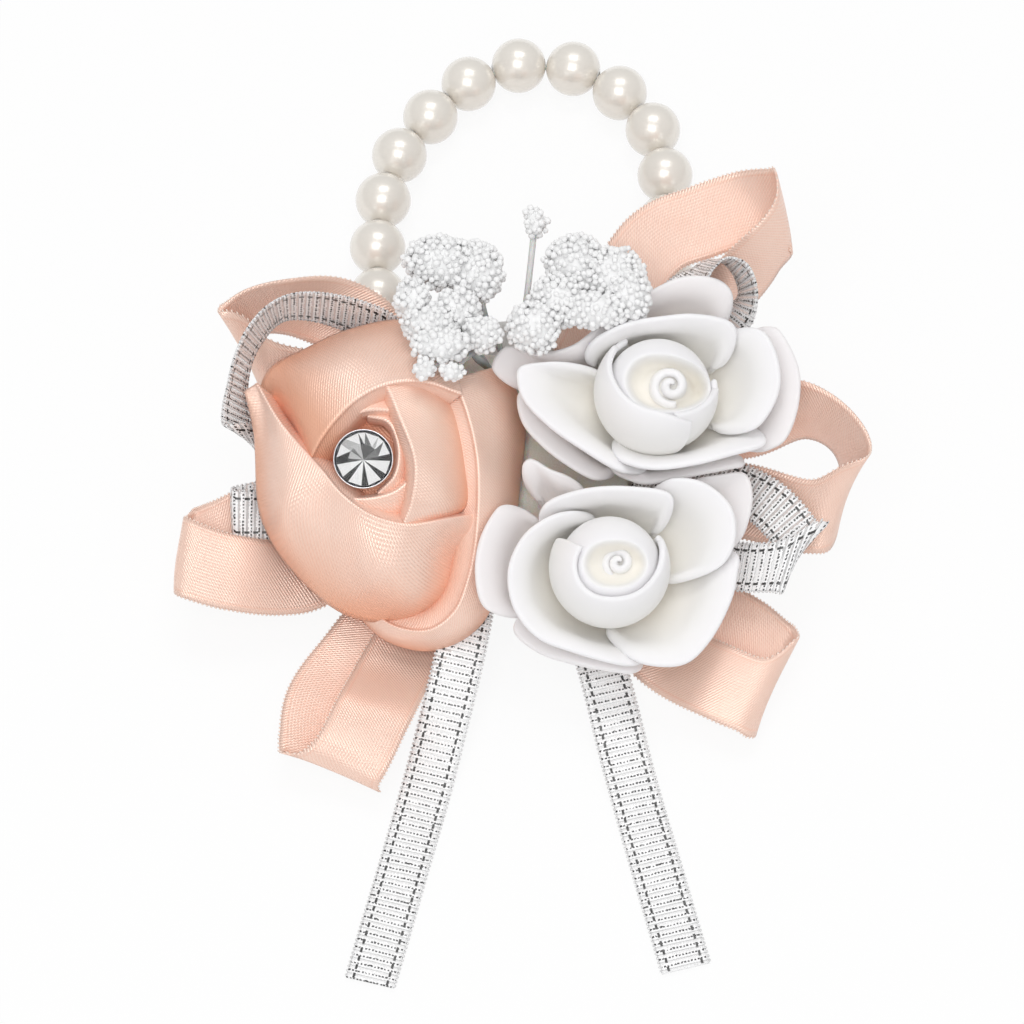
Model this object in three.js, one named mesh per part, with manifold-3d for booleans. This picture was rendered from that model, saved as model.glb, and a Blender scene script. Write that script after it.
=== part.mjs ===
// Wrist corsage: a satin rose, two foam roses and stamen sprigs on a felt disc, with satin and silver
// ribbon loops behind them, on a stretch bracelet of drilled pearls.
// Millimetres, +Z up. The bracelet lies flat on a table and the flower head leans on it, facing -Y and up.

import * as THREE from 'three';
import { mergeVertices } from 'three/addons/utils/BufferGeometryUtils.js';
import Module from 'manifold-3d';

const wasm = await Module();
wasm.setup();

// Clearance between pieces that touch on the real object
const CLEARANCE = 0.3;

// Bracelet
const PEARL_DIAMETER = 8.0;
const PEARL_SPACING = 0.1;
const PEARL_COUNT = 18;
const PEARL_BORE = 2.0;
const PEARL_ROW_SHIFT = 1.75;
const CORD_DIAMETER = 0.8;

// Felt sandwich that grips the cord
const BASE_FELT_DIAMETER = 40.0;
const BACKING_FELT_DIAMETER = 24.0;
const FELT_THICKNESS = 1.6;
const CORD_LINE_OFFSET = 2.0;

// Pose of the flower head on the table
const HEAD_TILT = 22.0;
const HEAD_HEIGHT = 10.0;

// Ribbons
const SATIN_WIDTH = 10.0;
const SATIN_THICKNESS = 0.5;
const SILVER_WIDTH = 6.4;
const SILVER_THICKNESS = 0.5;
const TAIL_RUN = 46.3;
const ROOT_RADIUS = 16.0;

// Glue mound
const GLUE_CORE_RADIUS = 9.0;
const GLUE_BRIM_RADIUS = ROOT_RADIUS;
const GLUE_BRIM_THICKNESS = 1.2;

// Flowers
const SATIN_FOLD_THICKNESS = 1.0;
const ROSE_CORE_RADIUS = 12.8;
const ROSE_CORE_HEIGHT = 9.3;
const ROSE_CORE_BEVEL = 1.5;
const ROSE_EYE_RADIUS = 5.0;
const STONE_DIAMETER = 7.8;
const STONE_CROWN = 1.7;
const STONE_GIRDLE = 0.4;
const STONE_PAVILION = 2.4;
const STONE_TABLE_SHARE = 0.5;
const STONE_CULET_SHARE = 0.25;
const STONE_STAR = { radiusShare: 0.78, heightShare: 0.65 };
const STONE_CLEARANCE = 0.1;
const SETTING_WALL = 0.3;
const FOAM_THICKNESS = 0.7;
const UPPER_BUD_RADIUS = 7.8;
const LOWER_BUD_RADIUS = 7.5;
const BUD_EQUATOR_RISE = 8.6;
const BUD_RISE = 6.6;
const BUD_FALL = 5.6;
const BUD_STEM_RADIUS = 3.0;
const BUD_HOLLOW = 3.0;
const BUD_ROLL_HEIGHT = 5.6;

// Stamens
const STEM_DIAMETER = 1.0;

// Levels above the felt's top face, one ribbon over another
const LEVEL_STEP = SATIN_THICKNESS + CLEARANCE;
const ribbonLevel = (layer) => CLEARANCE + SATIN_THICKNESS / 2 + layer * LEVEL_STEP;
const GLUE_BRIM_UNDER = ribbonLevel(4) - SATIN_THICKNESS / 2;
const FLOWER_SEAT = GLUE_BRIM_UNDER + GLUE_BRIM_THICKNESS + CLEARANCE;

// Depth of the cord's axis under the felt's top face
const CORD_DEPTH = FELT_THICKNESS + CLEARANCE + CORD_DIAMETER / 2;

const COLOURS = {
  pearl: { color: 0xece4d4, roughness: 0.25, metalness: 0.0 },
  cord: { color: 0xe8e4dc, roughness: 0.5, metalness: 0.0 },
  felt: { color: 0xf4f1ec, roughness: 0.95, metalness: 0.0 },
  glue: { color: 0xe9e4d8, roughness: 0.4, metalness: 0.0 },
  satin: { color: 0xf4c6ac, roughness: 0.4, metalness: 0.0 },
  silver: { color: 0xd5d5d8, roughness: 0.35, metalness: 0.7 },
  crystal: { color: 0xe6ebf0, roughness: 0.05, metalness: 0.1 },
  setting: { color: 0xc9c9cc, roughness: 0.25, metalness: 0.9 },
  foam: { color: 0xf7f4ee, roughness: 0.7, metalness: 0.0 },
  stamen: { color: 0xfafafa, roughness: 0.6, metalness: 0.0 },
};

const vector = (point) => new THREE.Vector3(...point);

function piece(name, geometry, colour) {
  const mesh = new THREE.Mesh(geometry, new THREE.MeshStandardMaterial(COLOURS[colour]));
  mesh.name = name;
  return mesh;
}

function toManifold(geometry) {
  const bare = geometry.clone();
  bare.deleteAttribute('normal');
  bare.deleteAttribute('uv');
  const merged = mergeVertices(bare, 1e-4);
  return new wasm.Manifold(new wasm.Mesh({
    numProp: 3,
    vertProperties: new Float32Array(merged.attributes.position.array),
    triVerts: new Uint32Array(merged.index.array),
  }));
}

function fromManifold(solid) {
  const mesh = solid.getMesh();
  const geometry = new THREE.BufferGeometry();
  geometry.setAttribute('position', new THREE.BufferAttribute(mesh.vertProperties, 3));
  geometry.setIndex(new THREE.BufferAttribute(mesh.triVerts, 1));
  geometry.computeVertexNormals();
  return geometry;
}

function join(geometries) {
  const solids = geometries.map(toManifold);
  const whole = solids.slice(1).reduce((sum, solid) => sum.add(solid), solids[0]);
  return fromManifold(whole);
}

function cut(geometry, tool) {
  return fromManifold(toManifold(geometry).subtract(toManifold(tool)));
}

// A closed geometry from points and triangles, turned to face outwards
function closedGeometry(positions, index) {
  const corner = (k) => new THREE.Vector3().fromArray(positions, 3 * index[k]);
  let volume = 0;
  for (let k = 0; k < index.length; k += 3) {
    volume += corner(k).dot(corner(k + 1).cross(corner(k + 2)));
  }
  const geometry = new THREE.BufferGeometry();
  geometry.setAttribute('position', new THREE.Float32BufferAttribute(positions, 3));
  geometry.setIndex(volume < 0 ? index.reverse() : index);
  geometry.computeVertexNormals();
  return geometry;
}

// A closed slab between two surfaces, each a function of (along, across) from 0 to 1
function slab(frontAt, backAt, alongSteps, acrossSteps) {
  const positions = [];
  const columns = acrossSteps + 1;
  for (const surface of [frontAt, backAt]) {
    for (let i = 0; i <= alongSteps; i += 1) {
      for (let j = 0; j <= acrossSteps; j += 1) {
        positions.push(...surface(i / alongSteps, j / acrossSteps).toArray());
      }
    }
  }
  const front = (i, j) => i * columns + j;
  const back = (i, j) => (alongSteps + 1) * columns + i * columns + j;
  const index = [];
  const quad = (a, b, c, d) => index.push(a, b, c, a, c, d);
  for (let i = 0; i < alongSteps; i += 1) {
    for (let j = 0; j < acrossSteps; j += 1) {
      quad(front(i, j), front(i + 1, j), front(i + 1, j + 1), front(i, j + 1));
      quad(back(i, j), back(i, j + 1), back(i + 1, j + 1), back(i + 1, j));
    }
    quad(front(i, 0), back(i, 0), back(i + 1, 0), front(i + 1, 0));
    quad(front(i + 1, acrossSteps), back(i + 1, acrossSteps), back(i, acrossSteps), front(i, acrossSteps));
  }
  for (let j = 0; j < acrossSteps; j += 1) {
    quad(front(0, j + 1), back(0, j + 1), back(0, j), front(0, j));
    quad(front(alongSteps, j), back(alongSteps, j), back(alongSteps, j + 1), front(alongSteps, j + 1));
  }
  return closedGeometry(positions, index);
}

// A closed body swept round an axis: pathAt gives the points from its foot to its top at each bearing
function turnedBody(pathAt, sides) {
  const paths = Array.from({ length: sides }, (_, k) => pathAt((k / sides) * 2 * Math.PI));
  const count = paths[0].length;
  const positions = paths.flatMap((path) => path.flatMap((point) => point.toArray()));
  const middleOf = (level) => (
    paths.reduce((sum, path) => sum.add(path[level]), new THREE.Vector3()).divideScalar(sides));
  positions.push(...middleOf(0).toArray(), ...middleOf(count - 1).toArray());
  const foot = sides * count;
  const index = [];
  for (let k = 0; k < sides; k += 1) {
    const here = k * count;
    const next = ((k + 1) % sides) * count;
    for (let i = 0; i < count - 1; i += 1) {
      index.push(here + i, next + i, next + i + 1, here + i, next + i + 1, here + i + 1);
    }
    index.push(foot, next, here, foot + 1, here + count - 1, next + count - 1);
  }
  return closedGeometry(positions, index);
}

// A closed sheet of even thickness over one surface
function sheet(surface, thickness, alongSteps, acrossSteps) {
  const step = 1e-3;
  const offset = (distance) => (a, b) => {
    const along = surface(Math.min(1, a + step), b).sub(surface(Math.max(0, a - step), b));
    const across = surface(a, Math.min(1, b + step)).sub(surface(a, Math.max(0, b - step)));
    return surface(a, b).addScaledVector(along.cross(across).normalize(), distance);
  };
  return slab(offset(thickness / 2), offset(-thickness / 2), alongSteps, acrossSteps);
}

// A smooth line through points chosen by hand
function smoothLine(points) {
  return new THREE.CatmullRomCurve3(points.map(vector), false, 'centripetal');
}

// A ribbon of constant width: each station is a centre point and the direction across the ribbon there
function ribbon(stations, width, thickness, steps) {
  const centre = smoothLine(stations.map((station) => station.at));
  const directions = stations.map((station) => vector(station.across));
  const lean = new THREE.CatmullRomCurve3(directions, false, 'catmullrom');
  const surface = (a, b) => {
    const tangent = centre.getTangent(a);
    const across = lean.getPoint(a);
    across.addScaledVector(tangent, -across.dot(tangent)).normalize();
    return centre.getPoint(a).addScaledVector(across, (b - 0.5) * width);
  };
  return sheet(surface, thickness, steps, 2);
}

// The head's own frame: u to the right, v up the felt, w out of the felt towards the viewer
const head = new THREE.Group();
head.rotation.x = THREE.MathUtils.degToRad(HEAD_TILT);
head.position.set(0, 0, HEAD_HEIGHT);
head.updateMatrix();
const headPoint = (u, v, w) => new THREE.Vector3(u, v, w).applyMatrix4(head.matrix);

const table = new THREE.Group();

// Bracelet: the cord runs straight through the felt sandwich, and round the table through the pearls
const TRAP_HALF = BACKING_FELT_DIAMETER / 2;
const trap = headPoint(0, CORD_LINE_OFFSET, -CORD_DEPTH);
const trapPoints = [1, 0.5, 0, -0.5, -1].map((share) => [share * TRAP_HALF, trap.y, trap.z]);
const RING_PLAN = [
  [-16.6, 6.2], [-18, 13], [-18.8, 21], [-19.4, 31], [-19.6, 39.4], [-18.9, 47.4], [-16.7, 55],
  [-12.4, 61.6], [-6.9, 67.5], [0.4, 70.8], [8.2, 70.4], [15.1, 66.2], [20.1, 59.4], [21.7, 51.5],
  [21.6, 43], [21.2, 35], [20.5, 27], [19.5, 19], [18.4, 12], [16.8, 6],
];
const ringPoints = RING_PLAN.map(([x, y]) => [x, y, PEARL_DIAMETER / 2]);
const cordRoute = new THREE.CatmullRomCurve3([...trapPoints, ...ringPoints].map(vector), true, 'centripetal');

function makeCord() {
  return piece('elastic_cord', new THREE.TubeGeometry(cordRoute, 64, CORD_DIAMETER / 2, 6, true), 'cord');
}

function pearlGeometry() {
  const radius = PEARL_DIAMETER / 2;
  const bore = PEARL_BORE / 2;
  const mouth = Math.asin(bore / radius);
  const latitudes = 7;
  const profile = [];
  for (let i = 0; i <= latitudes; i += 1) {
    const angle = THREE.MathUtils.lerp(mouth, Math.PI - mouth, i / latitudes);
    profile.push(new THREE.Vector2(radius * Math.sin(angle), -radius * Math.cos(angle)));
  }
  profile.push(profile[0].clone());
  return new THREE.LatheGeometry(profile, 10);
}

function makePearls() {
  const length = cordRoute.getLength();
  const pitch = PEARL_DIAMETER + PEARL_SPACING;
  const middle = (length + BACKING_FELT_DIAMETER) / 2 + PEARL_ROW_SHIFT;
  const pearls = [];
  for (let i = 0; i < PEARL_COUNT; i += 1) {
    const share = (middle + (i - (PEARL_COUNT - 1) / 2) * pitch) / length;
    const pearl = piece(`pearl_${String(i + 1).padStart(2, '0')}`, pearlGeometry(), 'pearl');
    pearl.position.copy(cordRoute.getPointAt(share));
    pearl.quaternion.setFromUnitVectors(new THREE.Vector3(0, 1, 0), cordRoute.getTangentAt(share));
    pearls.push(pearl);
  }
  return pearls;
}

// Felt discs: the backing has a groove for the cord, and its back face lies on the wrist
function feltDisc(diameter, topW) {
  const disc = new THREE.CylinderGeometry(diameter / 2, diameter / 2, FELT_THICKNESS, 40);
  disc.rotateX(Math.PI / 2);
  disc.translate(0, 0, topW - FELT_THICKNESS / 2);
  return disc;
}

function makeFelts() {
  const backing = feltDisc(BACKING_FELT_DIAMETER, -FELT_THICKNESS - CLEARANCE);
  backing.translate(0, CORD_LINE_OFFSET, 0);
  const grooveRadius = CORD_DIAMETER / 2 + CLEARANCE;
  const groove = new THREE.CylinderGeometry(grooveRadius, grooveRadius, 2 * BACKING_FELT_DIAMETER, 12);
  groove.rotateZ(Math.PI / 2);
  groove.translate(0, CORD_LINE_OFFSET, -CORD_DEPTH);
  return [
    piece('base_felt', feltDisc(BASE_FELT_DIAMETER, 0), 'felt'),
    piece('backing_felt', cut(backing, groove), 'felt'),
  ];
}

// Glue: a core on the felt and a brim over the ribbons' ends
function makeGlue() {
  const crown = GLUE_BRIM_UNDER + GLUE_BRIM_THICKNESS;
  const profile = [
    [0, CLEARANCE], [GLUE_CORE_RADIUS, CLEARANCE], [GLUE_CORE_RADIUS, GLUE_BRIM_UNDER],
    [GLUE_BRIM_RADIUS, GLUE_BRIM_UNDER], [GLUE_BRIM_RADIUS - GLUE_BRIM_THICKNESS / 2, crown], [0, crown],
  ].map(([r, w]) => new THREE.Vector2(r, w));
  const mound = new THREE.LatheGeometry(profile, 20);
  mound.rotateX(Math.PI / 2);
  return piece('glue_mound', mound, 'glue');
}

// Ribbon loops. A loop starts and ends at its root on the felt, at a heading round it and on two layers,
// and goes through three or more stations: centre point, then direction across the ribbon.
const SATIN_LOOPS = [
  { leaves: 55, returns: 43, layers: [0, 1], path: [
    [[19.1, 30, 3.6], [0.5, -0.85, 0]], [[25.2, 32.7, 4.6], [0.45, -0.88, 0]],
    [[32.4, 34.6, 6], [0.35, -0.9, -0.15]], [[36, 34, 8], [0.23, -0.86, -0.47]],
    [[36.4, 31.6, 8.8], [0.2, -0.7, -0.68]], [[33.9, 28.2, 7.4], [0.25, -0.6, -0.7]],
    [[30.6, 24, 4.4], [0.6, -0.78, -0.15]], [[25.6, 20.2, 2.8], [0.6, -0.8, 0]]] },
  { leaves: 9, returns: -11, layers: [0, 1], path: [
    [[31, 5.5, 4], [0, 0.95, 0.2]], [[40.5, 6, 6.5], [0.2, 0.5, 0.8]], [[45.3, 1.5, 8], [0.3, 0.2, 0.9]],
    [[45.3, -4, 8], [0.2, 0.5, 0.8]], [[41, -7.8, 7.5], [0, 0.9, 0.4]], [[31, -5.5, 4], [0, 1, 0.1]]] },
  { leaves: -37, returns: -51, layers: [0, 1], path: [
    [[25.5, -20, 2.4], [0.55, 0.8, 0]], [[31.5, -24, 3.6], [0.5, 0.84, 0]],
    [[34.8, -28.2, 5], [0.42, 0.9, 0]], [[34.8, -30.8, 7.2], [0.4, 0.9, 0]],
    [[32, -32, 8.8], [0.38, 0.92, 0]], [[27, -30.2, 8.4], [0.4, 0.9, 0]],
    [[19.8, -25.6, 3.8], [0.5, 0.85, 0]]] },
  { leaves: 230, returns: 243, layers: [0, 1], path: [
    [[-21, -26, 3.4], [0.85, -0.5, 0]], [[-25.6, -33, 6.6], [0.85, -0.5, 0]],
    [[-25.8, -39.6, 9.4], [0.9, -0.42, 0]], [[-24.2, -42.4, 11.4], [0.93, -0.37, 0]],
    [[-22, -40.8, 12.8], [0.92, -0.4, 0]],
    [[-18.8, -34.4, 10.6], [0.93, -0.35, 0]], [[-15.3, -27, 3.8], [0.95, -0.3, 0]]] },
  { leaves: 190, returns: 201, layers: [0, 1], path: [
    [[-32.5, -7, 2.3], [-0.45, 0.9, 0]], [[-39, -10, 3], [-0.4, 0.9, 0]], [[-44.5, -12.5, 3.8], [0.1, 1, 0]],
    [[-44.8, -13.2, 7], [0.1, 1, 0]], [[-38, -15.5, 7.4], [0.08, 1, 0]], [[-29, -15.3, 3.8], [0.1, 1, 0]]] },
  { leaves: 140, returns: 160, layers: [0, 1], path: [
    [[-22.5, 19.5, 3.2], [0.4, 0.9, 0.2]], [[-31, 21, 5], [0.1, 0.6, 0.8]],
    [[-36, 19.5, 5.8], [-0.3, 0.4, 0.8]], [[-36.8, 15.5, 5.6], [-0.4, 0.6, 0.6]],
    [[-33.5, 11.5, 5], [-0.3, 0.85, 0.4]], [[-25, 9.5, 3], [0.2, 0.95, 0.1]]] },
];
const SILVER_LOOPS = [
  { leaves: 138, returns: 174, layers: [2, 3], path: [
    [[-20, 18.5, 6.3], [0.15, 0.6, 0.75]], [[-30.5, 19.8, 11.2], [0.05, 0.3, 0.95]],
    [[-35, 15, 14], [-0.25, 0.15, 0.95]], [[-37, 8.8, 12.2], [-0.3, 0.05, 0.95]],
    [[-36, 2.4, 7.4], [-0.4, 0.3, 0.8]], [[-26, 1.5, 3.8], [0.1, 1, 0]]] },
  { leaves: 197, returns: 197, layers: [2, 3], path: [
    [[-24, -6.4, 3.5], [-0.2, 0.95, 0]], [[-31, -5.8, 4.2], [-0.1, 0.95, 0]],
    [[-37.8, -7, 4.6], [0, 0.95, 0.1]], [[-37.8, -7.6, 6.2], [0, 0.95, 0.1]],
    [[-31, -7.5, 5.2], [0, 1, 0]], [[-24, -6.8, 4.2], [-0.2, 0.95, 0]]] },
  { leaves: -8, returns: -28, layers: [2, 3], path: [
    [[28, -3.2, 5], [0.4, 0.85, 0.1]], [[33.4, -5.8, 7.4], [0.6, 0.75, 0.1]],
    [[37, -9.8, 8.8], [0.75, 0.6, 0.1]], [[38.4, -12.8, 9.4], [0.6, 0.75, 0]],
    [[36.6, -14.4, 10.4], [0.35, 0.9, 0]], [[33, -15, 9.4], [0.2, 0.95, 0]],
    [[27, -14, 6.4], [0.2, 0.95, 0]]] },
  { leaves: 44, returns: 32, layers: [2, 3], path: [
    [[21.6, 20.8, 4.8], [0.65, -0.7, 0.1]], [[25.3, 25.5, 8.6], [0.5, -0.2, 0.8]],
    [[28, 26.5, 10.9], [0.4, -0.1, 0.9]], [[30.4, 24.8, 10.8], [0.35, 0.2, 0.9]],
    [[31.2, 21.2, 8.6], [0.5, -0.3, 0.8]], [[25.4, 16.6, 4.2], [0.6, -0.8, 0]]] },
];

function rootStation(heading, layer, across) {
  const angle = THREE.MathUtils.degToRad(heading);
  const outward = new THREE.Vector3(Math.cos(angle), Math.sin(angle), 0);
  const tangent = new THREE.Vector3(-outward.y, outward.x, 0);
  if (tangent.dot(vector(across)) < 0) {
    tangent.negate();
  }
  const at = outward.multiplyScalar(ROOT_RADIUS).setZ(ribbonLevel(layer));
  return { at: at.toArray(), across: tangent.toArray() };
}

function makeLoops(loops, name, width, thickness, colour) {
  return loops.map(({ leaves, returns, layers, path }, i) => {
    const stations = path.map(([at, across]) => ({ at, across }));
    const first = rootStation(leaves, layers[0], stations[0].across);
    const last = rootStation(returns, layers[1], stations.at(-1).across);
    const shape = ribbon([first, ...stations, last], width, thickness, 20);
    return piece(`${name}_${i + 1}`, shape, colour);
  });
}

// Silver tails: from under the flowers down to the table, where they lie straight. A tail's run is the plan
// length from its bend to its cut end, at a heading on the table.
const TAIL_REST = SILVER_THICKNESS / 2;
const TAIL_LANDING = { share: 0.35, lift: 0.7 };
const TAIL_FLAT_SHARE = 0.6;
const TAIL_ROOT_LAYER = 2.4;
const TAIL_TRIM = 2.8;
const TAILS = [
  { side: 'left', root: [-5, -13.5], bend: [-7.3, -26, 6.8], heading: 255.6, run: TAIL_RUN,
    across: [0.97, -0.25, 0] },
  { side: 'right', root: [7, -14], bend: [11.5, -27.5, 5], heading: 284.2, run: TAIL_RUN - TAIL_TRIM,
    across: [0.97, 0.25, 0] },
];

function makeTails() {
  return TAILS.map(({ side, root, bend, heading, run, across }) => {
    const start = headPoint(...root, ribbonLevel(TAIL_ROOT_LAYER));
    const over = headPoint(...bend);
    const angle = THREE.MathUtils.degToRad(heading);
    const straight = new THREE.Vector3(Math.cos(angle), Math.sin(angle), 0).multiplyScalar(run);
    const tip = over.clone().add(straight).setZ(TAIL_REST);
    const landing = over.clone().lerp(tip, TAIL_LANDING.share).setZ(TAIL_REST + TAIL_LANDING.lift);
    const flat = over.clone().lerp(tip, TAIL_FLAT_SHARE).setZ(TAIL_REST);
    const stations = [start, over, landing, flat, tip].map((at) => ({ at: at.toArray(), across }));
    return piece(`silver_tail_${side}`, ribbon(stations, SILVER_WIDTH, SILVER_THICKNESS, 16), 'silver');
  });
}

// Satin rose: a ribbon folded and wound round its eye. Each petal is a double fold: from its foot up to
// the folded rim, and down again inside to the core.
const ROSE_EYE = [-20, -1.5];
const ROSE_CORE = [-17, -3];
const LINING_DROP = 9;
const LINING_FLOOR = FLOWER_SEAT + 1;
const SATIN_PETALS = [
  { swell: 1.5, inset: 3,
    rim: [
      [-34.5, 9.3, 13], [-31.3, 3.7, 15.5], [-25.8, -2.9, 17.2], [-23, -6.3, 17.6], [-19, -9.1, 17.4],
      [-14, -10.3, 17], [-8.6, -9.1, 15.6]],
    foot: [
      [-34.9, 8.4, 11], [-34.7, 0.7, 9.8], [-33.8, -8.6, 9], [-28.7, -16, 8.6], [-22, -20.4, 8.4],
      [-15.5, -20.5, 8], [-9.5, -16.5, 8]] },
  { swell: 1.5, inset: 3,
    rim: [[-26.5, -2, 16.5], [-26, 1, 17.8], [-21.5, 6, 18.5], [-17, 8.5, 18], [-12, 9, 17], [-7, 7.5, 16]],
    foot: [
      [-33.2, 7, 9.6], [-32, 11.5, 10], [-28, 14.5, 9.5], [-23, 17, 8.5], [-15, 18.5, 8], [-10, 15.5, 8]] },
  { swell: 0.5, inset: 2,
    rim: [
      [-8.4, 9.5, 14.5], [-6.9, 7, 15.2], [-4.9, -0.7, 14.8], [-4.9, -10, 13.2], [-6, -16.5, 11.6],
      [-8, -21.2, 10.6], [-12, -24.4, 10], [-17.3, -23.7, 9.8], [-21.3, -21.7, 9.6]],
    foot: [
      [-1.5, 12.5, 7.5], [1.2, 6, 6.8], [0.6, -3, 6.5], [-0.4, -11, 6.5], [-2.2, -17.5, 6.5],
      [-4.8, -22.6, 6.8], [-10.5, -26, 7], [-17, -25.3, 7.4], [-21.8, -23, 7.8]] },
  { swell: 0.8, inset: 1,
    rim: [[-17, 8.5, 17.5], [-15.5, 5, 18.3], [-13, -2, 18.5], [-13.5, -7.5, 18], [-14.5, -10, 17]],
    foot: [[-8, 8.5, 12.6], [-6.5, 4, 12.4], [-6, -2.5, 12.6], [-6.5, -7, 12.6], [-9, -9, 12.6]] },
  { swell: 0.3, inset: 0,
    rim: [[-25, 1, 16], [-23, 3.7, 16.6], [-19.5, 5.2, 16.8], [-14.5, 5, 16.5]],
    foot: [[-25.5, 2, 13.5], [-21.5, 7, 13.5], [-17, 8.5, 13.5], [-13, 6.5, 13.5]] },
  { swell: 0.3, inset: 0,
    rim: [[-24.5, -5, 16], [-21.5, -6.8, 16.6], [-16, -6, 16.6], [-13, -3.5, 16.4]],
    foot: [[-25.5, -4.5, 13.5], [-21, -8.5, 13.5], [-15, -9.5, 13.5], [-12, -6.5, 13.5]] },
];

function satinPetal({ rim, foot, swell, inset }) {
  const rimLine = smoothLine(rim);
  const footLine = smoothLine(foot);
  const inwardAt = (edge, length) => (
    new THREE.Vector3(ROSE_EYE[0] - edge.x, ROSE_EYE[1] - edge.y, 0).setLength(length));
  const face = (a, b) => {
    const edge = rimLine.getPoint(a);
    const hem = footLine.getPoint(a);
    const outward = edge.clone().sub(hem).cross(rimLine.getTangent(a)).normalize();
    if (outward.z < 0) {
      outward.negate();
    }
    return hem.lerp(edge, b).addScaledVector(outward, swell * Math.sin(Math.PI * b));
  };
  const lining = (a, b) => {
    const edge = rimLine.getPoint(a);
    const depth = 1 - b;
    const reach = SATIN_FOLD_THICKNESS + inset * Math.sqrt(depth);
    const drop = Math.min(LINING_DROP, edge.z - LINING_FLOOR);
    return edge.clone().add(inwardAt(edge, reach)).setZ(edge.z - drop * depth);
  };
  return slab(face, lining, 12, 4);
}

function makeSatinRose() {
  const crown = FLOWER_SEAT + ROSE_CORE_HEIGHT;
  const profile = [
    [0, FLOWER_SEAT], [ROSE_CORE_RADIUS - ROSE_CORE_BEVEL, FLOWER_SEAT],
    [ROSE_CORE_RADIUS, FLOWER_SEAT + ROSE_CORE_BEVEL], [ROSE_CORE_RADIUS, crown - ROSE_CORE_BEVEL / 2],
    [ROSE_EYE_RADIUS, crown], [0, crown],
  ].map(([r, w]) => new THREE.Vector2(r, w));
  const core = new THREE.LatheGeometry(profile, 24);
  core.rotateX(Math.PI / 2);
  core.translate(...ROSE_CORE, 0);
  return piece('satin_rose', join([core, ...SATIN_PETALS.map(satinPetal)]), 'satin');
}

// Stone in its cup, glued on the rose's eye
function makeStone() {
  const radius = STONE_DIAMETER / 2;
  const cupFloor = FLOWER_SEAT + ROSE_CORE_HEIGHT + CLEARANCE;
  const culet = cupFloor + SETTING_WALL + STONE_CLEARANCE;
  const girdle = culet + STONE_PAVILION;
  const crown = girdle + STONE_GIRDLE;
  const stoneProfile = [
    [0, culet], [radius * STONE_CULET_SHARE, culet], [radius, girdle], [radius, crown],
    [radius * STONE_STAR.radiusShare, crown + STONE_CROWN * STONE_STAR.heightShare],
    [radius * STONE_TABLE_SHARE, crown + STONE_CROWN], [0, crown + STONE_CROWN],
  ];
  const inner = radius + STONE_CLEARANCE;
  const outer = inner + SETTING_WALL;
  const floorRadius = radius * STONE_CULET_SHARE + STONE_CLEARANCE;
  const cupProfile = [
    [0, cupFloor], [floorRadius + SETTING_WALL, cupFloor], [outer, girdle], [outer, crown], [inner, crown],
    [inner, girdle], [floorRadius, cupFloor + SETTING_WALL], [0, cupFloor + SETTING_WALL],
  ];
  const turned = (profile, sides) => {
    const shape = new THREE.LatheGeometry(profile.map(([r, w]) => new THREE.Vector2(r, w)), sides);
    shape.rotateX(Math.PI / 2);
    shape.translate(...ROSE_EYE, 0);
    return shape;
  };
  return [
    piece('rhinestone', turned(stoneProfile, 12), 'crystal'),
    piece('stone_setting', turned(cupProfile, 24), 'setting'),
  ];
}

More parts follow.
